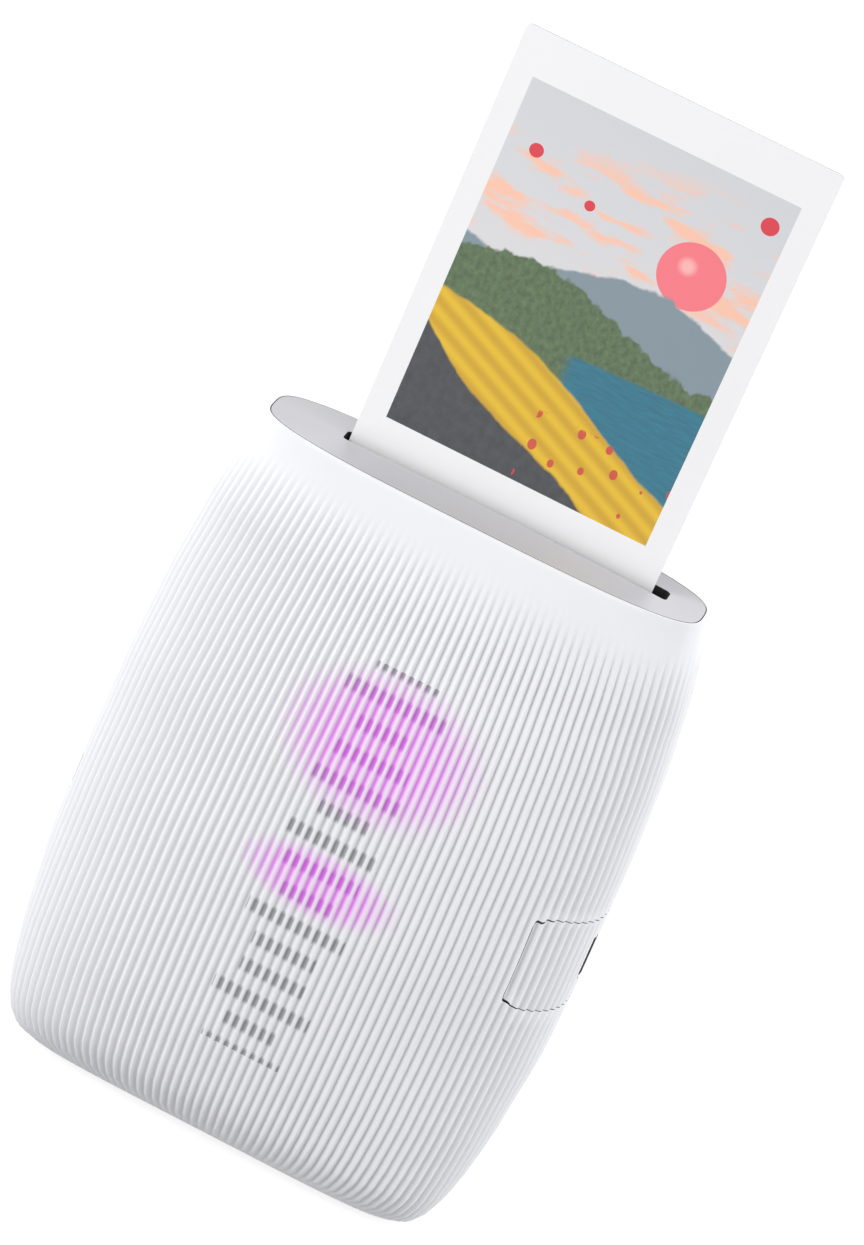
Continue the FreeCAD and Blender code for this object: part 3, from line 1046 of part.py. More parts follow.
patch = box(LIGHT_X - DIFFUSER_WIDTH / 2, LIGHT_X + DIFFUSER_WIDTH / 2, -HALF_DEPTH, BOARD_FRONT,
            DIFFUSER_LOW, DIFFUSER_HIGH)
save(outer_skin.common(patch).cut(inner_skin), "light_diffuser")
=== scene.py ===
import math
from functools import partial

import bmesh
import bpy
import numpy as np
from mathutils import Matrix, Vector


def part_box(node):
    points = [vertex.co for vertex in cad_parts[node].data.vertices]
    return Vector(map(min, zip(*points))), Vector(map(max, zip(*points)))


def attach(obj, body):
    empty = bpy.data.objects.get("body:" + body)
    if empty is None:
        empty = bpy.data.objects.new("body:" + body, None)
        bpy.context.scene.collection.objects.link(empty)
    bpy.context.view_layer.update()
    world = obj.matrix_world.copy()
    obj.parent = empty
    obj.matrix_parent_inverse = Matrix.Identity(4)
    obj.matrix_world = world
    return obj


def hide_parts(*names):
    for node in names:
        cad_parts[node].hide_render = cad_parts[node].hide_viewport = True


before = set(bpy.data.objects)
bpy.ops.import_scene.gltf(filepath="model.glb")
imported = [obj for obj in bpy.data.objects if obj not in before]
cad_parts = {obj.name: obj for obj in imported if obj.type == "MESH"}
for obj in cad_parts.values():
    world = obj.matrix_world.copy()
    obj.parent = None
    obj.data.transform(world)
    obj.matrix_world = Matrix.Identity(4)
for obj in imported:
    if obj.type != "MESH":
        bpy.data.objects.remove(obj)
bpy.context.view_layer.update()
MM = 0.001

# The camera: a long lens above the printer and in front of it, rolled so that the printer
# leans to the right in the frame.
lens = bpy.data.cameras.new("product_camera")
lens.sensor_fit = "VERTICAL"
lens.sensor_height = 36.0
lens.lens = 148.64
lens.clip_start = 0.05
camera = bpy.data.objects.new("product_camera", lens)
bpy.context.scene.collection.objects.link(camera)
right = Vector((0.88901, 0.27440, 0.36656))
up = Vector((-0.44727, 0.34905, 0.82347))
backwards = Vector((0.09801, -0.89603, 0.43304))
turn = Matrix((right, up, backwards)).transposed().to_4x4()
camera.matrix_world = Matrix.Translation(Vector((80.08, -739.42, 458.54)) * MM) @ turn
bpy.context.scene.camera = camera
bpy.context.scene.view_settings.view_transform = "Standard"

# The body's outer form, moulded in white plastic: a superellipse at every height, from a small
# rounded foot to a full middle and a slimmer shoulder. Rows: height, half width, front and back
# half depth, squareness in front and at the back, and how far the ribs have grown.
BODY_HALF_WIDTH = 44.98 * MM
BODY_HALF_DEPTH = 18.63 * MM
RIM_HEIGHT = 123.6 * MM
OUTLINE_SAMPLES = 1441
FRONT, BACK = -1, 1
form_rows = np.array([
    (0.000, 0.667, 0.270, 0.430, 5.0, 5.0, 0.0),
    (0.006, 0.750, 0.375, 0.560, 5.0, 5.0, 0.0),
    (0.018, 0.816, 0.498, 0.700, 5.0, 5.0, 0.15),
    (0.036, 0.862, 0.640, 0.815, 4.6, 4.8, 0.6),
    (0.058, 0.892, 0.760, 0.893, 4.1, 4.4, 0.9),
    (0.100, 0.928, 0.882, 0.951, 3.4, 4.0, 1.0),
    (0.135, 0.947, 0.925, 0.972, 3.1, 3.8, 1.0),
    (0.230, 0.978, 0.980, 0.995, 2.7, 3.6, 1.0),
    (0.370, 1.000, 1.000, 1.000, 2.4, 3.5, 1.0),
    (0.550, 0.994, 0.958, 1.000, 2.4, 3.5, 1.0),
    (0.700, 0.979, 0.872, 0.978, 2.4, 3.5, 1.0),
    (0.830, 0.947, 0.744, 0.915, 2.5, 3.5, 1.0),
    (0.910, 0.915, 0.640, 0.795, 2.7, 3.4, 0.7),
    (0.965, 0.882, 0.562, 0.640, 2.9, 3.3, 0.0),
    (1.000, 0.858, 0.505, 0.510, 3.3, 3.3, 0.0),
])


def eased(places, values, at):
    """A smooth curve through the rows that never swings past them."""
    steps = np.diff(places)
    rises = np.diff(values) / steps
    slopes = np.zeros(len(places))
    for i in range(1, len(places) - 1):
        if rises[i - 1] * rises[i] > 0:
            slopes[i] = 2 * rises[i - 1] * rises[i] / (rises[i - 1] + rises[i])
    slopes[0], slopes[-1] = rises[0], rises[-1]
    i = min(max(int(np.searchsorted(places, at)) - 1, 0), len(places) - 2)
    t = (at - places[i]) / steps[i]
    low = values[i] + slopes[i] * steps[i] * t
    high = values[i + 1] - slopes[i + 1] * steps[i] * (1 - t)
    blend = t * t * (3 - 2 * t)
    return low + (high - low) * blend


def form_at(z, side):
    """Half width, half depth, squareness and rib growth at a height."""
    row = [eased(form_rows[:, 0], form_rows[:, k], z / RIM_HEIGHT) for k in range(1, 7)]
    depth, squareness = (row[1], row[3]) if side == FRONT else (row[2], row[4])
    return row[0] * BODY_HALF_WIDTH, depth * BODY_HALF_DEPTH, squareness, row[5]


def half_ring(half_width, half_depth, squareness, side, shares):
    """Points of a half outline, from +X round to -X, at shares of its length."""
    angle = np.linspace(0, math.pi, OUTLINE_SAMPLES)
    c, s = np.cos(angle), np.abs(np.sin(angle))
    reach = np.abs(c / half_width) ** squareness + (s / half_depth) ** squareness
    reach = reach ** (-1 / squareness)
    x, y = reach * c, reach * s
    length = np.concatenate([[0], np.cumsum(np.hypot(np.diff(x), np.diff(y)))])
    at = np.asarray(shares) * length[-1]
    return np.interp(at, length, x), side * np.interp(at, length, y)


# The shells' walls. The outside carries narrow round ribs that run up the body and die out
# below the smooth shoulder; the inside is plain. Each half is one moulding.
SHELL_WALL = 1.6 * MM
FLOOR_WALL = 1.8 * MM
RIB_DEPTH = 0.40 * MM
RIB_COUNT = {FRONT: 66, BACK: 68}
RIB_STEPS = [0, 0.1, 0.2, 0.32, 0.5, 0.68, 0.8, 0.9]
GROOVE_NARROWNESS = 1.2
RIM_ROUND = 0.07 * MM
SEAT_HEIGHT = 121.5 * MM
CAP_HALF = (38.16 * MM, 8.97 * MM)
CAP_SQUARENESS = 3.4
CAP_GAP = 0.13 * MM
OUTER_LEVELS = [
    0, 0.002, 0.006, 0.012, 0.018, 0.027, 0.036, 0.047, 0.058, 0.07, 0.085, 0.1, 0.118, 0.135,
    *np.arange(0.16, 0.80, 0.032), *np.arange(0.80, 0.97, 0.012), 0.975, 0.985, 0.994,
]
INNER_LEVELS = (0.98, 0.9, 0.8, 0.65, 0.5, 0.35, 0.2, 0.12, 0.058, 0.02, 0)
SAME_POINT = 1e-7
SHARP_ANGLE = math.radians(35)
PARALLEL = 0.99
ROUND_SEGMENTS = 10


def shell_skin(name, side):
    """A half body: a grid whose rows climb the outside, turn in at the rim and run down inside."""
    count = RIB_COUNT[side]
    shares = np.array([(i + step) / count for i in range(count) for step in RIB_STEPS] + [1.0])
    phase = np.array([step for i in range(count) for step in RIB_STEPS] + [0.0])
    dip = (0.5 + 0.5 * np.cos(2 * math.pi * phase)) ** GROOVE_NARROWNESS
    rows = []

    def add_row(x, y, z, sink=0.0):
        rows.append((x, y, np.full_like(x, z), sink + 0 * x))

    for share in (0, 0.5):
        x, y = half_ring(*form_at(0, side)[:3], side, shares)
        add_row(x * share, y * share, 0)
    for level in OUTER_LEVELS:
        half_width, half_depth, squareness, growth = form_at(level * RIM_HEIGHT, side)
        x, y = half_ring(half_width, half_depth, squareness, side, shares)
        low_x, low_y = half_ring(half_width - RIB_DEPTH, half_depth - RIB_DEPTH, squareness,
                                 side, shares)
        sink = growth * dip
        add_row(x + (low_x - x) * sink, y + (low_y - y) * sink, level * RIM_HEIGHT, sink)
    half_width, half_depth, squareness = form_at(RIM_HEIGHT, side)[:3]
    for z, inset in ((RIM_HEIGHT - RIM_ROUND, 0), (RIM_HEIGHT, RIM_ROUND)):
        x, y = half_ring(half_width - inset, half_depth - inset, squareness, side, shares)
        add_row(x, y, z)
    for z in (RIM_HEIGHT, SEAT_HEIGHT):
        x, y = half_ring(CAP_HALF[0] + CAP_GAP, CAP_HALF[1] + CAP_GAP, CAP_SQUARENESS, side, shares)
        add_row(x, y, z)
    for level in INNER_LEVELS:
        half_width, half_depth, squareness = form_at(level * RIM_HEIGHT, side)[:3]
        x, y = half_ring(half_width - SHELL_WALL, half_depth - SHELL_WALL, squareness, side, shares)
        add_row(x, y, level * RIM_HEIGHT + FLOOR_WALL * (1 - level))
    for share in (0.5, 0):
        add_row(x * share, y * share, FLOOR_WALL)
    skin = bmesh.new()
    bmesh.ops.create_grid(skin, x_segments=len(shares) - 1, y_segments=len(rows) - 1, size=0.5)
    groove = skin.verts.layers.float.new("groove")
    for vertex in skin.verts:
        i = round((vertex.co.x + 0.5) * (len(shares) - 1))
        x, y, z, sink = rows[round((vertex.co.y + 0.5) * (len(rows) - 1))]
        vertex.co = (x[i], y[i], z[i])
        vertex[groove] = sink[i]
    bmesh.ops.remove_doubles(skin, verts=skin.verts, dist=SAME_POINT)
    open_edges = [edge for edge in skin.edges if edge.is_boundary]
    bmesh.ops.holes_fill(skin, edges=open_edges, sides=0)
    bmesh.ops.recalc_face_normals(skin, faces=skin.faces)
    mesh = bpy.data.meshes.new(name)
    skin.to_mesh(mesh)
    skin.free()
    return mesh


def rounded_block(name, low, high, radius, axis, walls=0):
    """A block, rounded along one axis; what it cuts takes the walls' material."""
    block = bmesh.new()
    bmesh.ops.create_cube(block, size=1.0)
    middle = (Vector(low) + Vector(high)) / 2
    size = Vector(high) - Vector(low)
    stretched = Matrix.Translation(middle) @ Matrix.Diagonal((*size, 1))
    bmesh.ops.transform(block, matrix=stretched, verts=block.verts)
    along = [edge for edge in block.edges
             if abs((edge.verts[0].co - edge.verts[1].co).normalized()[axis]) > PARALLEL]
    if radius:
        bmesh.ops.bevel(block, geom=along, offset=radius, segments=ROUND_SEGMENTS, profile=0.5,
                        affect="EDGES", material=-1)
    for face in block.faces:
        face.material_index = walls
    mesh = bpy.data.meshes.new(name)
    block.to_mesh(mesh)
    block.free()
    return mesh


def carved(mesh, *cuts):
    """The mesh after each (operation, block) of the cuts."""
    for shape in (mesh, *(block for operation, block in cuts)):
        while len(shape.materials) < 2:
            shape.materials.append(None)
    work = bpy.data.objects.new("work", mesh)
    bpy.context.scene.collection.objects.link(work)
    tools = []
    for operation, block in cuts:
        tool = bpy.data.objects.new("tool", block)
        bpy.context.scene.collection.objects.link(tool)
        step = work.modifiers.new("cut", "BOOLEAN")
        step.operation = operation
        step.solver = "EXACT"
        step.object = tool
        tools.append(tool)
    bpy.context.view_layer.update()
    graph = bpy.context.evaluated_depsgraph_get()
    result = bpy.data.meshes.new_from_object(work.evaluated_get(graph))
    for thing in tools + [work]:
        bpy.data.objects.remove(thing)
    result.name = mesh.name
    return result


def placed(name, mesh, material, body, walls=None):
    """A finished piece on its body: smooth but for sharp edges and the edges of its cuts."""
    piece = bpy.data.objects.new(name, mesh)
    bpy.context.scene.collection.objects.link(piece)
    while len(mesh.materials) < 2:
        mesh.materials.append(None)
    mesh.materials[0] = material
    mesh.materials[1] = walls or material
    mesh.polygons.foreach_set("use_smooth", [True] * len(mesh.polygons))
    mesh.set_sharp_from_angle(angle=SHARP_ANGLE)
    shape = bmesh.new()
    shape.from_mesh(mesh)
    for edge in shape.edges:
        if len({face.material_index for face in edge.link_faces}) > 1:
            edge.smooth = False
    shape.to_mesh(mesh)
    shape.free()
    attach(piece, body)
    return piece


# Moulded plastic: faint cloudy colour, a spark-eroded grain and small changes in gloss. Its
# group is shared by every moulded piece, and each material keeps its own shader.
def surface_group(name, detail, spread, cloud_scale=None, stretch=(1, 1, 1)):
    """A finish: one noise mixes its two colours and one, or the same, gives gloss and height."""
    group = bpy.data.node_groups.new(name, "ShaderNodeTree")
    for way, label, kind in (("INPUT", "Tint", "Color"), ("INPUT", "Shade", "Color"),
                             ("INPUT", "Grain", "Float"), ("INPUT", "Gloss", "Float"),
                             ("OUTPUT", "Color", "Color"), ("OUTPUT", "Roughness", "Float"),
                             ("OUTPUT", "Height", "Float")):
        group.interface.new_socket(label, in_out=way, socket_type="NodeSocket" + kind)
    nodes, links = group.nodes, group.links
    source, target = nodes.new("NodeGroupInput"), nodes.new("NodeGroupOutput")
    place = nodes.new("ShaderNodeMapping")
    place.inputs["Scale"].default_value = stretch
    links.new(nodes.new("ShaderNodeTexCoord").outputs["Object"], place.inputs["Vector"])
    grain = nodes.new("ShaderNodeTexNoise")
    grain.inputs["Detail"].default_value = detail
    links.new(place.outputs["Vector"], grain.inputs["Vector"])
    links.new(source.outputs["Grain"], grain.inputs["Scale"])
    cloud = grain
    if cloud_scale:
        cloud = nodes.new("ShaderNodeTexNoise")
        cloud.inputs["Scale"].default_value = cloud_scale
        cloud.inputs["Detail"].default_value = 4.0
        links.new(place.outputs["Vector"], cloud.inputs["Vector"])
    tint = nodes.new("ShaderNodeMix")
    tint.data_type = "RGBA"
    links.new(cloud.outputs["Fac"], tint.inputs["Factor"])
    links.new(source.outputs["Shade"], tint.inputs["A"])
    links.new(source.outputs["Tint"], tint.inputs["B"])
    gloss = nodes.new("ShaderNodeMath")
    gloss.operation = "MULTIPLY_ADD"
    gloss.inputs[1].default_value = spread
    links.new(grain.outputs["Fac"], gloss.inputs[0])
    links.new(source.outputs["Gloss"], gloss.inputs[2])
    links.new(tint.outputs["Result"], target.inputs["Color"])
    links.new(gloss.outputs["Value"], target.inputs["Roughness"])
    links.new(grain.outputs["Fac"], target.inputs["Height"])
    return group


moulded = surface_group("moulded_plastic", detail=2.0, spread=0.12, cloud_scale=60.0)


def surface_material(name, tint, shade, gloss, grain=4000.0, bump=0.01 * MM, metal=0.0,
                     group=moulded):
    """A material whose colour, gloss and grain come from a surface group."""
    material = bpy.data.materials.new(name)
    material.use_nodes = True
    nodes, links = material.node_tree.nodes, material.node_tree.links
    shader = nodes["Principled BSDF"]
    surface = nodes.new("ShaderNodeGroup")
    surface.node_tree = group
    surface.name = "surface"
    surface.inputs["Tint"].default_value = (*tint, 1)
    surface.inputs["Shade"].default_value = (*shade, 1)
    surface.inputs["Grain"].default_value = grain
    surface.inputs["Gloss"].default_value = gloss
    relief = nodes.new("ShaderNodeBump")
    relief.inputs["Strength"].default_value = 0.5
    relief.inputs["Distance"].default_value = bump
    shader.inputs["Metallic"].default_value = metal
    links.new(surface.outputs["Color"], shader.inputs["Base Color"])
    links.new(surface.outputs["Roughness"], shader.inputs["Roughness"])
    links.new(surface.outputs["Height"], relief.inputs["Height"])
    links.new(relief.outputs["Normal"], shader.inputs["Normal"])
    return material


def plain_colour(material):
    """The colour that the material's surface group gives."""
    return material.node_tree.nodes["surface"].outputs["Color"]


def paint(material, socket, colour):
    """Feeds a colour into one of the shader's sockets."""
    material.node_tree.links.new(colour, material.node_tree.nodes["Principled BSDF"].inputs[socket])


def arithmetic(material, operation, first, second=None, third=None, clamp=False):
    """A math node; each input is a number or another node's output."""
    node = material.node_tree.nodes.new("ShaderNodeMath")
    node.operation = operation
    node.use_clamp = clamp
    for socket, value in zip(node.inputs, (first, second, third)):
        if isinstance(value, (int, float)):
            socket.default_value = value
        elif value is not None:
            material.node_tree.links.new(value, socket)
    return node.outputs[0]


def product(material, first, *others):
    """All the values multiplied, one after the other."""
    for other in others:
        first = arithmetic(material, "MULTIPLY", first, other)
    return first


def blended(material, factor, first, second):
    """A colour mix; each colour is a tuple or another node's output."""
    node = material.node_tree.nodes.new("ShaderNodeMix")
    node.data_type = "RGBA"
    for label, value in (("Factor", factor), ("A", first), ("B", second)):
        if isinstance(value, (tuple, float, int)):
            node.inputs[label].default_value = (*value, 1) if isinstance(value, tuple) else value
        else:
            material.node_tree.links.new(value, node.inputs[label])
    return node.outputs["Result"]


def position(material):
    """The three parts of a point's place on the object."""
    nodes, links = material.node_tree.nodes, material.node_tree.links
    split = nodes.new("ShaderNodeSeparateXYZ")
    links.new(nodes.new("ShaderNodeTexCoord").outputs["Object"], split.inputs[0])
    return split.outputs


# The case's white plastic, a little greyer down in the grooves by painted shade, and a dark painted
# shadow tone for the walls inside its narrow joints.
CASE_TINT, CASE_SHADE, CASE_GLOSS = (0.87, 0.875, 0.90), (0.83, 0.835, 0.86), 0.34
GROOVE_SHADOW_GREY = (0.45, 0.45, 0.48)
GROOVE_SHAPE, GROOVE_SHADE = 1.5, 0.45
seam_shadow = surface_material("seam_shadow", (0.06, 0.06, 0.065), (0.04, 0.04, 0.045), 0.6)


def groove_shaded(material):
    """The plain colour, with painted shade that greys it down in the grooves, and how deep a point
    lies.
    """
    depth = material.node_tree.nodes.new("ShaderNodeAttribute")
    depth.attribute_name = "groove"
    depth = depth.outputs["Fac"]
    shade = arithmetic(material, "POWER", depth, GROOVE_SHAPE)
    shade = arithmetic(material, "MULTIPLY", shade, GROOVE_SHADE, clamp=True)
    return blended(material, shade, plain_colour(material), GROOVE_SHADOW_GREY), depth


# The front's plastic lets the indicator lamps behind it shine through: two soft zones of pink
# light, painted into its colour and its own glow, with plain rows of dashes printed under the skin
# that show in the grooves.
UPPER_GLOW = ((1.9, 84.6), (14.4, 11.0))
LOWER_GLOW = ((1.6, 58.8), (11.6, 5.0))
GLOW_SOFTNESS = 0.75
GLOW_STRENGTH = 0.22
FRONT_FACE = -3 * MM
DASH_PITCH = 5.3 * MM
DASH_MIDDLE = 0.9 * MM
DASH_EDGE = (-7.0, 2.15)
DASH_LOW, DASH_HIGH = 24 * MM, 98 * MM
ROW_HALF, ROW_SWING, ROW_TURN = 6.6 * MM, 2.2 * MM, 2.3
DASH_STRENGTH = 0.68
LIGHT_IN_GROOVE, MARK_IN_GROOVE = (0.92, 0.06), (2.4, -0.30)
LIT_CREST, LIT_GROOVE = (0.85, 0.79, 0.88), (0.60, 0.19, 0.65)
UNLIT, LAMP_PINK = (0.0, 0.0, 0.0), (0.75, 0.22, 0.85)
DASH_GREY, DASH_PINK = (0.13, 0.14, 0.14), (0.42, 0.02, 0.50)
case_front = surface_material("white_case_front", CASE_TINT, CASE_SHADE, CASE_GLOSS)
front = partial(arithmetic, case_front)
x, y, z = position(case_front)
# The front's plain colour carries the painted shade in its grooves.
plain, groove = groove_shaded(case_front)


def glow_zone(middle, half):
    """1 inside an ellipse on the front, falling softly to 0 outside it."""
    across = front("MULTIPLY_ADD", x, 1 / (half[0] * MM), -middle[0] / half[0])
    along = front("MULTIPLY_ADD", z, 1 / (half[1] * MM), -middle[1] / half[1])
    reach = front("ADD", front("MULTIPLY", across, across), front("MULTIPLY", along, along))
    ramp = case_front.node_tree.nodes.new("ShaderNodeMapRange")
    ramp.interpolation_type = "SMOOTHSTEP"
    ramp.inputs["From Min"].default_value = 1 + GLOW_SOFTNESS
    ramp.inputs["From Max"].default_value = 1 - GLOW_SOFTNESS
    case_front.node_tree.links.new(reach, ramp.inputs["Value"])
    return ramp.outputs["Result"]


facing = front("LESS_THAN", y, FRONT_FACE)
glow = front("MULTIPLY", front("MAXIMUM", glow_zone(*UPPER_GLOW), glow_zone(*LOWER_GLOW)), facing)
row_place = front("MULTIPLY", z, 1 / DASH_PITCH)
from_row = front("ABSOLUTE", front("ADD", front("FRACT", row_place), -0.5))
dash = front("MULTIPLY_ADD", from_row, *DASH_EDGE, clamp=True)
swing = front("SINE", front("MULTIPLY", front("FLOOR", row_place), ROW_TURN))
half_row = front("MULTIPLY_ADD", swing, ROW_SWING, ROW_HALF)
within = front("LESS_THAN", front("ABSOLUTE", front("ADD", x, -DASH_MIDDLE)), half_row)
above, under = front("GREATER_THAN", z, DASH_LOW), front("LESS_THAN", z, DASH_HIGH)
in_groove = front("MULTIPLY_ADD", groove, *LIGHT_IN_GROOVE, clamp=True)
deep_in_groove = front("MULTIPLY_ADD", groove, *MARK_IN_GROOVE, clamp=True)
marks = product(case_front, dash, within, above, under, facing, deep_in_groove, DASH_STRENGTH)
lit = blended(case_front, in_groove, LIT_CREST, LIT_GROOVE)
mark_tone = blended(case_front, glow, DASH_GREY, DASH_PINK)
# Painted light: the lamps' pink glow laid into the base colour here and into the emission below.
skin_tone = blended(case_front, glow, plain, lit)
paint(case_front, "Base Color", blended(case_front, marks, skin_tone, mark_tone))
light = blended(case_front, front("MULTIPLY", glow, in_groove), UNLIT, LAMP_PINK)
paint(case_front, "Emission Color", light)
shader = case_front.node_tree.nodes["Principled BSDF"]
shader.inputs["Emission Strength"].default_value = GLOW_STRENGTH

# Front shell: the ribbed half towards the user, open at the side for the power button and at
# the left for the charging socket.
BUTTON_LOW, BUTTON_HIGH = 51.2 * MM, 68.9 * MM
BUTTON_HALF = 12.73 * MM
BUTTON_TAPER = 0.00209 / MM
BUTTON_ROUND = 2.4 * MM
BUTTON_GAP = 0.14 * MM
FRONT_GAP_SHARE = 1.9
BUTTON_DEEP, BUTTON_OUT = 30 * MM, 50 * MM
SOCKET_GAP = 0.3 * MM
SOCKET_ROUND = 1.87 * MM
SOCKET_OUT, SOCKET_OVERLAP = -50 * MM, 2 * MM


def button_block(gap):
    """The button's block, a little narrower upwards so that its edges run along the ribs."""
    low = (BUTTON_DEEP, -BUTTON_HALF + gap * FRONT_GAP_SHARE, BUTTON_LOW + gap)
    high = (BUTTON_OUT, BUTTON_HALF - gap, BUTTON_HIGH - gap)
    # The block's walls give its cuts the dark seam material, a painted shadow in the gap round the
    # button.
    block = rounded_block("button_block", low, high, BUTTON_ROUND - gap, 0, 1)
    for vertex in block.vertices:
        vertex.co.y *= 1 - BUTTON_TAPER * (vertex.co.z - (BUTTON_LOW + BUTTON_HIGH) / 2)
    return block


socket_low, socket_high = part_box("charging_socket")
room_low = (SOCKET_OUT, socket_low.y - SOCKET_GAP, socket_low.z - SOCKET_GAP)
room_high = (socket_low.x + SOCKET_OVERLAP, socket_high.y + SOCKET_GAP, socket_high.z + SOCKET_GAP)
socket_room = rounded_block("socket_room", room_low, room_high, SOCKET_ROUND, 0)
front_mesh = carved(shell_skin("front_half", FRONT), ("DIFFERENCE", button_block(0)),
                    ("DIFFERENCE", socket_room))
front_shell = placed("front_case", front_mesh, case_front, "case", seam_shadow)
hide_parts("front_shell")

# Back shell: the fuller ribbed half behind, moulded in the same white plastic and open for the
# film door, whose outline has round upper corners and a straight foot.
OPEN_GAP = 0.2 * MM
OPENING_FOOT = 5.5 * MM
PANEL_FOOT = 9.7 * MM
DOOR_ROUND = 4.0 * MM
DOOR_DEEP, DOOR_OUT = 6 * MM, 22 * MM
TRIM_HALF, TRIM_DEPTH, TRIM_TOP = 60 * MM, 30 * MM, 130 * MM
case_back = surface_material("white_case_back", CASE_TINT, CASE_SHADE, CASE_GLOSS)
# The back's colour carries the same painted shade in its grooves.
paint(case_back, "Base Color", groove_shaded(case_back)[0])
door_low, door_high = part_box("film_door")


def door_block(gap, foot):
    """The door's block: round at all four corners, then cut straight at its foot."""
    low = (door_low.x - OPEN_GAP + gap, DOOR_DEEP, foot - DOOR_ROUND * 2)
    high = (door_high.x + OPEN_GAP - gap, DOOR_OUT, door_high.z + OPEN_GAP - gap)
    block = rounded_block("door_block", low, high, DOOR_ROUND - gap, 1)
    above_foot = rounded_block("above_foot", (-TRIM_HALF, 0, foot),
                               (TRIM_HALF, TRIM_DEPTH, TRIM_TOP), 0, 1)
    return carved(block, ("INTERSECT", above_foot))


back_mesh = carved(shell_skin("back_half", BACK), ("DIFFERENCE", button_block(0)),
                   ("DIFFERENCE", door_block(0, OPENING_FOOT)))
back_shell = placed("back_case", back_mesh, case_back, "case", seam_shadow)
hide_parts("back_shell")

# Film door: the panel of the back that swings down on its hinge; its ribs run on from the
# shell's. A window near its top takes the latch.
WINDOW_TOP = 100.1 * MM
WINDOW_DEEP = 8 * MM
LATCH_WAY = 2.6 * MM
WINDOW_ROUND = 1.0 * MM
latch_low, latch_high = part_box("door_latch")
window = rounded_block("latch_window",
                       (latch_low.x - OPEN_GAP, WINDOW_DEEP, latch_low.z - LATCH_WAY),
                       (latch_high.x + OPEN_GAP, DOOR_OUT, WINDOW_TOP + OPEN_GAP), WINDOW_ROUND, 1)
door_mesh = carved(shell_skin("door_half", BACK), ("INTERSECT", door_block(OPEN_GAP, PANEL_FOOT)),
                   ("DIFFERENCE", window))
door = placed("film_door_panel", door_mesh, case_back, "door")
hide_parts("film_door")

# Power button: the ribbed piece let into the right side, moulded as the case and split by its
# dark window, a smoked strip. The button's two halves are joined where the shells meet.
SLIT_DEEP = 40 * MM
SLIT_WIDER = 0.55 * MM
SLIT_ROUND = 0.74 * MM
JOIN_REACH = 2e-6
SMOKED_SHINE = 0.12
slit_low, slit_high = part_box("button_window")
whole = bmesh.new()
for side in (FRONT, BACK):
    # The slit's walls take the dark seam material, a painted shadow beside the smoked window.
    slit = rounded_block("slit", (SLIT_DEEP, slit_low.y - SLIT_WIDER, slit_low.z),
                         (BUTTON_OUT, slit_high.y, slit_high.z), SLIT_ROUND, 0, 1)
    whole.from_mesh(carved(shell_skin("button_half", side), ("INTERSECT", button_block(BUTTON_GAP)),
                           ("DIFFERENCE", slit)))
inner = [face for face in whole.faces
         if all(abs(vertex.co.y) < JOIN_REACH / 2 for vertex in face.verts)]
bmesh.ops.delete(whole, geom=inner, context="FACES")
bmesh.ops.remove_doubles(whole, verts=whole.verts, dist=JOIN_REACH)
button_mesh = bpy.data.meshes.new("side_button")
whole.to_mesh(button_mesh)
whole.free()
button = placed("side_button", button_mesh, case_back, "button", seam_shadow)
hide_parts("power_button")


def finish_nodes(material, *names):
    """Gives CAD pieces that are already right in shape their material."""
    for name in names:
        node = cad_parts[name]
        node.data.materials.clear()
        node.data.materials.append(material)


smoked = surface_material("smoked_window", (0.02, 0.02, 0.025), (0.035, 0.035, 0.04), 0.5, 9000.0)
shader = smoked.node_tree.nodes["Principled BSDF"]
shader.inputs["Specular IOR Level"].default_value = SMOKED_SHINE
finish_nodes(smoked, "button_window")

# Top cap: smooth light grey moulding, slightly crowned, let into the rim with a hairline seam,
# with the slot that the print comes out of.
CAP_EDGE = 0.06 * MM
CROWN = 0.86 * MM
CAP_HALF_POINTS = 96
EDGE_STEPS = 5
CROWN_SHARES = (0.97, 0.9, 0.8, 0.65, 0.45, 0.2)
SLOT_HALF = 1.8 * MM
SLOT_ROUND = 0.8 * MM
SLOT_LOW, SLOT_HIGH = 118 * MM, 130 * MM
LEVEL_LIMIT = 0.9
cap_grey = surface_material("grey_cap", (0.545, 0.545, 0.575), (0.52, 0.52, 0.55), 0.36)
cap_shares = np.linspace(0, 1, CAP_HALF_POINTS + 1)[:-1]
side_x, side_y = half_ring(*CAP_HALF, CAP_SQUARENESS, BACK, cap_shares)
outline = list(zip(side_x, side_y)) + [(-a, -b) for a, b in zip(side_x, side_y)]


def cap_ring(height, inset, share=1.0):
    """The cap's outline at a height, drawn in by an inset and scaled by a share."""
    wide, deep = share * (1 - inset / CAP_HALF[0]), share * (1 - inset / CAP_HALF[1])
    return [Vector((a * wide, b * deep, height)) for a, b in outline]


def in_order(verts):
    """A ring's vertices in order of their angle."""
    return sorted(verts, key=lambda vertex: math.atan2(vertex.co.y, vertex.co.x) % (2 * math.pi))


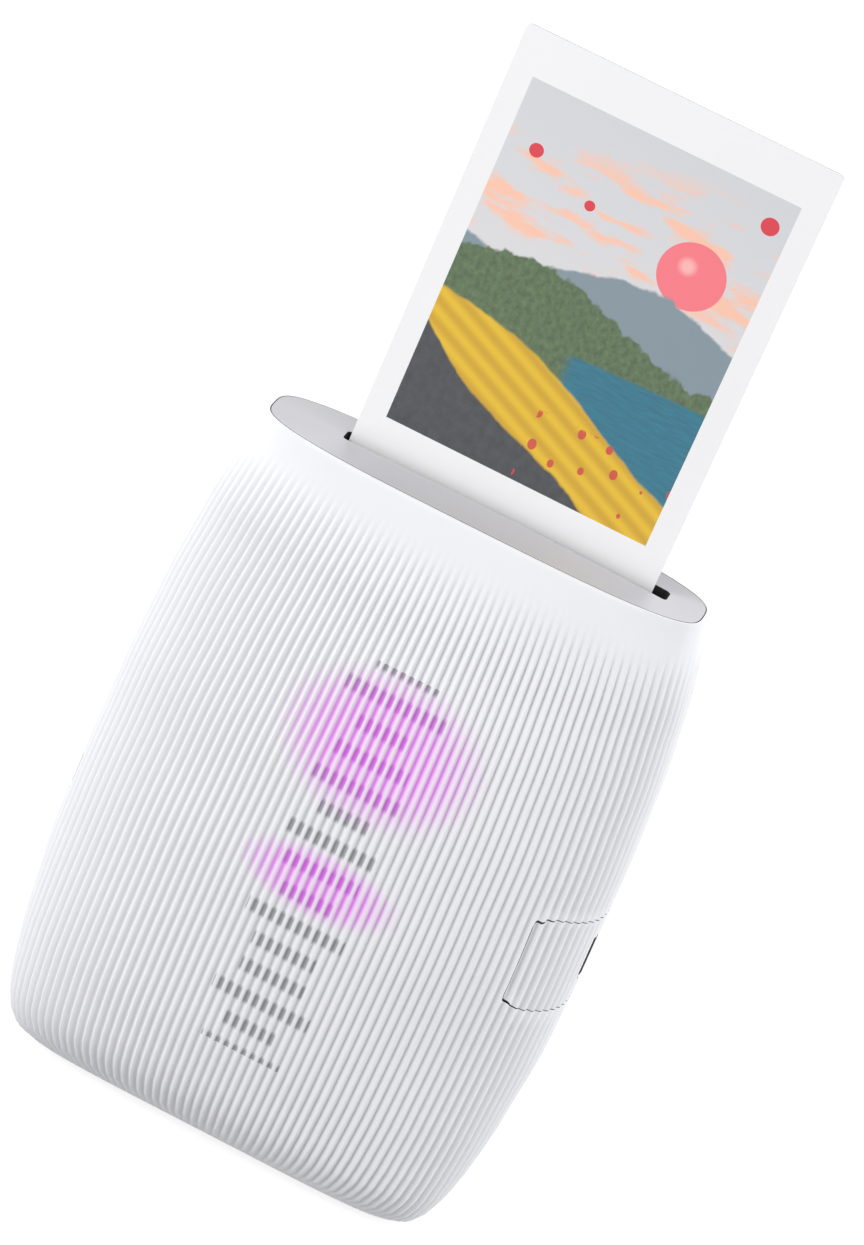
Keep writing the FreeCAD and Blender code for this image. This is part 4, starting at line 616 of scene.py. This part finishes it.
cap = bmesh.new()
bmesh.ops.create_circle(cap, cap_ends=False, radius=1.0, segments=2 * CAP_HALF_POINTS)
for vertex, spot in zip(in_order(cap.verts), cap_ring(SEAT_HEIGHT, 0)):
    vertex.co = spot
levels = [cap_ring(RIM_HEIGHT - CAP_EDGE, 0)]
for k in range(1, EDGE_STEPS + 1):
    angle = math.pi / 2 * k / EDGE_STEPS
    height = RIM_HEIGHT - CAP_EDGE * (1 - math.sin(angle))
    levels.append(cap_ring(height, CAP_EDGE * (1 - math.cos(angle))))
for share in CROWN_SHARES:
    levels.append(cap_ring(RIM_HEIGHT + CROWN * (1 - share ** 2), CAP_EDGE, share))
edges = list(cap.edges)
for level in levels:
    grown = bmesh.ops.extrude_edge_only(cap, edges=edges)["geom"]
    edges = [item for item in grown if isinstance(item, bmesh.types.BMEdge)]
    fresh = in_order(item for item in grown if isinstance(item, bmesh.types.BMVert))
    for vertex, spot in zip(fresh, level):
        vertex.co = spot
open_edges = [edge for edge in cap.edges if edge.is_boundary]
bmesh.ops.holes_fill(cap, edges=open_edges, sides=0)
bmesh.ops.recalc_face_normals(cap, faces=cap.faces)
# The cap's sides and the steep part of its edge round sit in the seam and take the dark seam
# material, a painted shadow.
for face in cap.faces:
    if abs(face.normal.z) < LEVEL_LIMIT:
        face.material_index = 1
cap_mesh = bpy.data.meshes.new("cap")
cap.to_mesh(cap_mesh)
cap.free()
slot_low, slot_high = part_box("light_seals")
slot_block = rounded_block("slot", (slot_low.x, -SLOT_HALF, SLOT_LOW),
                           (slot_high.x, SLOT_HALF, SLOT_HIGH), SLOT_ROUND, 2, 1)
cap_mesh = carved(cap_mesh, ("DIFFERENCE", slot_block))
cap_piece = placed("cap_lid", cap_mesh, cap_grey, "case", seam_shadow)
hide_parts("top_cap")

# Print: a sheet of instant film with a white border and a picture of plain hills at dusk,
# drawn by the material; its back is dark. Places in the picture run from -1 to 1 both ways.
PICTURE_HALF = (23.0, 31.0)
PICTURE_MIDDLE = (2.2, 161.0)
FACE_SHARE = 0.2
FILM_WHITE, FILM_SHADE, FILM_BACK = (0.92, 0.92, 0.93), (0.90, 0.90, 0.91), (0.03, 0.03, 0.035)
picture = surface_material("film_sheet", FILM_WHITE, FILM_SHADE, 0.30, 2500.0)
draw, mixed = partial(arithmetic, picture), partial(blended, picture)
x, y, z = position(picture)
across, along = [draw("MULTIPLY_ADD", place, 1 / (half * MM), -middle / half)
                 for place, half, middle in zip((x, z), PICTURE_HALF, PICTURE_MIDDLE)]
inside = draw("MULTIPLY", draw("LESS_THAN", draw("ABSOLUTE", across), 1.0),
              draw("LESS_THAN", draw("ABSOLUTE", along), 1.0))
flat_place = picture.node_tree.nodes.new("ShaderNodeCombineXYZ")
picture.node_tree.links.new(across, flat_place.inputs["X"])
picture.node_tree.links.new(along, flat_place.inputs["Y"])


def noise(scale, detail=3.0, stretch=(1, 1, 1)):
    """A noise value over the picture, stretched along its sides."""
    nodes, links = picture.node_tree.nodes, picture.node_tree.links
    mapping = nodes.new("ShaderNodeMapping")
    mapping.inputs["Scale"].default_value = stretch
    texture = nodes.new("ShaderNodeTexNoise")
    texture.inputs["Scale"].default_value = scale
    texture.inputs["Detail"].default_value = detail
    links.new(flat_place.outputs[0], mapping.inputs["Vector"])
    links.new(mapping.outputs["Vector"], texture.inputs["Vector"])
    return texture.outputs["Fac"]


def below(line, hardness=60.0):
    """1 where the point is under a line that depends on the place across."""
    return draw("MULTIPLY_ADD", draw("SUBTRACT", line, along), hardness, 0.5, clamp=True)


def wave(rate, start, size, level, rough=0.0, scale=6.0):
    """A hill line: a sine across the picture with a little roughness."""
    line = draw("SINE", draw("MULTIPLY_ADD", across, rate, start))
    line = draw("MULTIPLY_ADD", line, size, level)
    if rough:
        line = draw("MULTIPLY_ADD", noise(scale), rough, line)
    return line


def disc(middle, radius, hardness=30.0):
    """1 inside a disc on the picture; its radius is in millimetres."""
    dx = draw("MULTIPLY", draw("ADD", across, -middle[0]), PICTURE_HALF[0])
    dz = draw("MULTIPLY", draw("ADD", along, -middle[1]), PICTURE_HALF[1])
    far = draw("SQRT", draw("ADD", draw("MULTIPLY", dx, dx), draw("MULTIPLY", dz, dz)))
    return draw("MULTIPLY", draw("SUBTRACT", radius, far), hardness, clamp=True)


# The picture's upper part: a pale sky, a band of cloud, the low sun and three small balloons,
# each laid over the ones before it.
SKY_LOW, SKY_HIGH, CLOUD = (0.80, 0.78, 0.78), (0.66, 0.67, 0.70), (1.0, 0.56, 0.40)
SUN, SUN_SHINE, BALLOON = (0.95, 0.19, 0.23), (1.0, 0.48, 0.46), (0.72, 0.03, 0.05)
tone = mixed(draw("MULTIPLY_ADD", along, 0.5, 0.5, clamp=True), SKY_LOW, SKY_HIGH)
clouds = draw("MULTIPLY_ADD", noise(2.2, 5.0, (0.8, 4.2, 1)), 11.0, -5.5, clamp=True)
under_clouds = draw("SUBTRACT", 1.0, below(wave(rate=1.5, start=1.0, size=0.04, level=0.16), 6.0))
cloud_top = below(wave(rate=2.0, start=0.4, size=0.05, level=0.78), 5.0)
tone = mixed(product(picture, clouds, cloud_top, under_clouds, 0.95), tone, CLOUD)
tone = mixed(disc((0.52, 0.42), 5.6), tone, SUN)
tone = mixed(disc((0.47, 0.46), 1.8, 0.9), tone, SUN_SHINE)
for spot, radius in (((-0.78, 0.66), 1.2), ((0.86, 0.84), 1.5), ((-0.30, 0.52), 0.9)):
    tone = mixed(disc(spot, radius), tone, BALLOON)

# The picture's lower part: far hills, woods, a lake, a field and dark ground with flowers,
# each laid over the ones before it, and a thin haze of grain over the whole picture.
FAR_HILLS = (0.22, 0.29, 0.33)
WOOD_DARK, WOOD_LIGHT = (0.012, 0.03, 0.014), (0.15, 0.25, 0.10)
LAKE_DARK, LAKE_LIGHT = (0.004, 0.09, 0.15), (0.01, 0.22, 0.32)
FIELD_DARK, FIELD_LIGHT = (0.58, 0.31, 0.004), (0.86, 0.56, 0.01)
SOIL_DARK, SOIL_LIGHT = (0.012, 0.013, 0.016), (0.07, 0.075, 0.085)
BLOOM, FILM_HAZE = (0.62, 0.03, 0.03), (0.75, 0.75, 0.78)
PETAL_SCALE, PETAL_RADIUS = 8.5, 0.27
hill_line = wave(rate=3.1, start=0.6, size=0.09, level=0.12, rough=0.10, scale=5.0)
tone = mixed(below(hill_line), tone, FAR_HILLS)
wood_line = wave(rate=2.3, start=2.6, size=0.13, level=-0.06, rough=0.12, scale=9.0)
tone = mixed(below(wood_line), tone, mixed(noise(26.0, 5.0), WOOD_DARK, WOOD_LIGHT))
lake_line = wave(rate=1.2, start=0.2, size=0.03, level=-0.25)
lake = draw("MULTIPLY", below(lake_line), draw("MULTIPLY_ADD", across, 12.0, 0.5, clamp=True))
tone = mixed(lake, tone, mixed(noise(7.0, 4.0, (1, 7, 1)), LAKE_DARK, LAKE_LIGHT))
field_line = wave(rate=2.6, start=2.2, size=0.06, level=-0.46, rough=0.03)
field_line = draw("MULTIPLY_ADD", across, -0.26, field_line)
furrows = draw("SINE", draw("MULTIPLY", draw("MULTIPLY_ADD", across, 0.35, along), 62.0))
furrows = draw("MULTIPLY_ADD", furrows, 0.3, 0.5)
tone = mixed(below(field_line), tone, mixed(furrows, FIELD_DARK, FIELD_LIGHT))
soil_line = wave(rate=3.4, start=0.3, size=0.05, level=-0.86, rough=0.05)
soil_line = draw("MULTIPLY_ADD", across, -0.42, soil_line)
tone = mixed(below(soil_line), tone, mixed(noise(18.0, 5.0), SOIL_DARK, SOIL_LIGHT))
petals = picture.node_tree.nodes.new("ShaderNodeTexVoronoi")
petals.inputs["Scale"].default_value = PETAL_SCALE
picture.node_tree.links.new(flat_place.outputs[0], petals.inputs["Vector"])
blooms = product(picture, draw("LESS_THAN", petals.outputs["Distance"], PETAL_RADIUS),
                 below(wave(rate=2.0, start=1.0, size=0.04, level=-0.62)),
                 draw("GREATER_THAN", across, -0.05), 0.9)
tone = mixed(blooms, tone, BLOOM)
tone = mixed(draw("MULTIPLY", noise(120.0, 2.0), 0.04), tone, FILM_HAZE)
shown = mixed(inside, plain_colour(picture), tone)
film_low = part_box("print")[0]
faces_front = draw("LESS_THAN", y, film_low.y * FACE_SHARE)
paint(picture, "Base Color", mixed(faces_front, FILM_BACK, shown))
shader = picture.node_tree.nodes["Principled BSDF"]
shader.inputs["Coat Weight"].default_value = 0.25
shader.inputs["Coat Roughness"].default_value = 0.15
finish_nodes(picture, "print")

# Metal pieces, which keep their CAD shapes: turned, drawn or rolled, with fine streaks along
# the piece and uneven gloss, which come from a surface group of their own.
streaked = surface_group("streaked_metal", detail=3.0, spread=0.22, stretch=(0.05, 1, 1))
metal_material = partial(surface_material, bump=0.004 * MM, metal=1.0, group=streaked)
finish_nodes(metal_material("turned_steel", (0.66, 0.67, 0.69), (0.52, 0.53, 0.55), 0.18, 900.0),
             "hinge_pin", "case_screws", "drive_shaft", "pinch_shaft", "motor_shaft")
finish_nodes(metal_material("spring_strip", (0.60, 0.61, 0.63), (0.48, 0.49, 0.51), 0.22, 1500.0),
             "button_spring", "pressure_leaves", "pack_spring", "film_claw")
finish_nodes(metal_material("drawn_can", (0.58, 0.59, 0.61), (0.47, 0.48, 0.50), 0.25, 600.0),
             "motor", "charging_socket")
finish_nodes(metal_material("turned_brass", (0.78, 0.60, 0.30), (0.62, 0.46, 0.20), 0.22, 900.0),
             "motor_pinion")
finish_nodes(metal_material("pouch_foil", (0.70, 0.71, 0.73), (0.60, 0.61, 0.63), 0.35, 300.0),
             "battery")

# The other moulded, rubber, felt and glass pieces, which keep their CAD shapes too: latch,
# frame, film pack, gears, rollers, boards, lamps and seals.
finish_nodes(surface_material("latch_grey", (0.72, 0.725, 0.75), (0.69, 0.695, 0.72), 0.38),
             "door_latch")
finish_nodes(surface_material("frame_plastic", (0.055, 0.058, 0.065), (0.04, 0.042, 0.048), 0.45),
             "chassis")
finish_nodes(surface_material("pack_plastic", (0.022, 0.022, 0.025), (0.014, 0.014, 0.016), 0.42),
             "film_pack", "print_head")
finish_nodes(surface_material("stacked_film", (0.70, 0.70, 0.72), (0.62, 0.62, 0.65), 0.30),
             "film_stack")
finish_nodes(surface_material("roller_rubber", (0.028, 0.028, 0.030), (0.018, 0.018, 0.020), 0.62,
                              2600.0),
             "drive_sleeve", "pinch_sleeve")
finish_nodes(surface_material("gear_plastic", (0.80, 0.79, 0.75), (0.74, 0.73, 0.69), 0.36),
             "drive_gear", "pinch_gear", "idler_gear", "first_gear", "second_gear")
finish_nodes(surface_material("board_lacquer", (0.012, 0.14, 0.07), (0.008, 0.10, 0.05), 0.22,
                              700.0),
             "main_board", "light_board")
finish_nodes(surface_material("chip_resin", (0.02, 0.02, 0.022), (0.014, 0.014, 0.015), 0.5),
             "board_chips", "switch")
finish_nodes(surface_material("lamp_resin", (0.92, 0.80, 0.92), (0.86, 0.72, 0.88), 0.15),
             "lamps")
finish_nodes(surface_material("milky_sheet", (0.86, 0.86, 0.88), (0.80, 0.80, 0.83), 0.5),
             "light_diffuser")
finish_nodes(surface_material("black_felt", (0.012, 0.012, 0.013), (0.006, 0.006, 0.007), 0.85,
                              3000.0, 0.08 * MM),
             "light_seals")
finish_nodes(surface_material("ribbon_film", (0.62, 0.36, 0.10), (0.52, 0.29, 0.07), 0.25),
             "head_cable")
finish_nodes(surface_material("lens_glass", (0.55, 0.62, 0.66), (0.45, 0.52, 0.58), 0.05),
             "head_lens")

# The studio floor: a pale sheet that keeps a soft shadow. What the camera and reflections see
# of it is lifted to white by its own glow, which doesn't light the printer.
FLOOR_HALF = 3.0
FLOOR_GREY = (0.36, 0.36, 0.37)
FLOOR_LIFT = 0.78
sheet = bmesh.new()
bmesh.ops.create_grid(sheet, x_segments=4, y_segments=4, size=FLOOR_HALF)
floor = bpy.data.meshes.new("studio_floor")
sheet.to_mesh(floor)
sheet.free()
floor_piece = bpy.data.objects.new("studio_floor", floor)
bpy.context.scene.collection.objects.link(floor_piece)
paper = bpy.data.materials.new("studio_paper")
paper.use_nodes = True
nodes, links = paper.node_tree.nodes, paper.node_tree.links
shader = nodes["Principled BSDF"]
shader.inputs["Base Color"].default_value = (*FLOOR_GREY, 1)
shader.inputs["Roughness"].default_value = 0.8
rays = nodes.new("ShaderNodeLightPath").outputs
seen = arithmetic(paper, "MAXIMUM", rays["Is Camera Ray"], rays["Is Glossy Ray"])
glowing = nodes.new("ShaderNodeEmission")
links.new(arithmetic(paper, "MULTIPLY", seen, FLOOR_LIFT), glowing.inputs["Strength"])
both = nodes.new("ShaderNodeAddShader")
links.new(shader.outputs["BSDF"], both.inputs[0])
links.new(glowing.outputs["Emission"], both.inputs[1])
links.new(both.outputs["Shader"], nodes["Material Output"].inputs["Surface"])
floor.materials.append(paper)

# The studio's surround and lamps: even light from all round, a main lamp on the left, a weaker
# one on the right and a third behind and above.
SURROUND_LIGHT = 0.68
world = bpy.data.worlds.new("studio")
bpy.context.scene.world = world
world.use_nodes = True
nodes, links = world.node_tree.nodes, world.node_tree.links
rays = nodes.new("ShaderNodeLightPath").outputs
level = nodes.new("ShaderNodeMapRange")
level.inputs["To Min"].default_value = SURROUND_LIGHT
level.inputs["To Max"].default_value = 1.0
seen = arithmetic(world, "MAXIMUM", rays["Is Camera Ray"], rays["Is Transmission Ray"])
links.new(seen, level.inputs["Value"])
links.new(level.outputs["Result"], nodes["Background"].inputs["Strength"])
nodes["Background"].inputs["Color"].default_value = (1, 1, 1, 1)


def studio_lamp(name, place, aim_height, size, power):
    """A round lamp, in metres and watts, aimed at a height above the printer's foot."""
    lamp = bpy.data.lights.new(name, "AREA")
    lamp.shape = "DISK"
    lamp.size = size
    lamp.energy = power
    piece = bpy.data.objects.new(name, lamp)
    bpy.context.scene.collection.objects.link(piece)
    aim = (Vector((0, 0, aim_height)) - Vector(place)).to_track_quat("-Z", "Y")
    piece.matrix_world = Matrix.Translation(Vector(place)) @ aim.to_matrix().to_4x4()


studio_lamp("key_lamp", (-0.92, -0.66, 0.60), aim_height=0.07, size=0.5, power=9.4)
studio_lamp("fill_lamp", (0.97, -0.10, 0.35), aim_height=0.07, size=0.6, power=4.6)
studio_lamp("back_lamp", (0.1, 0.9, 0.9), aim_height=0.08, size=0.8, power=3.2)
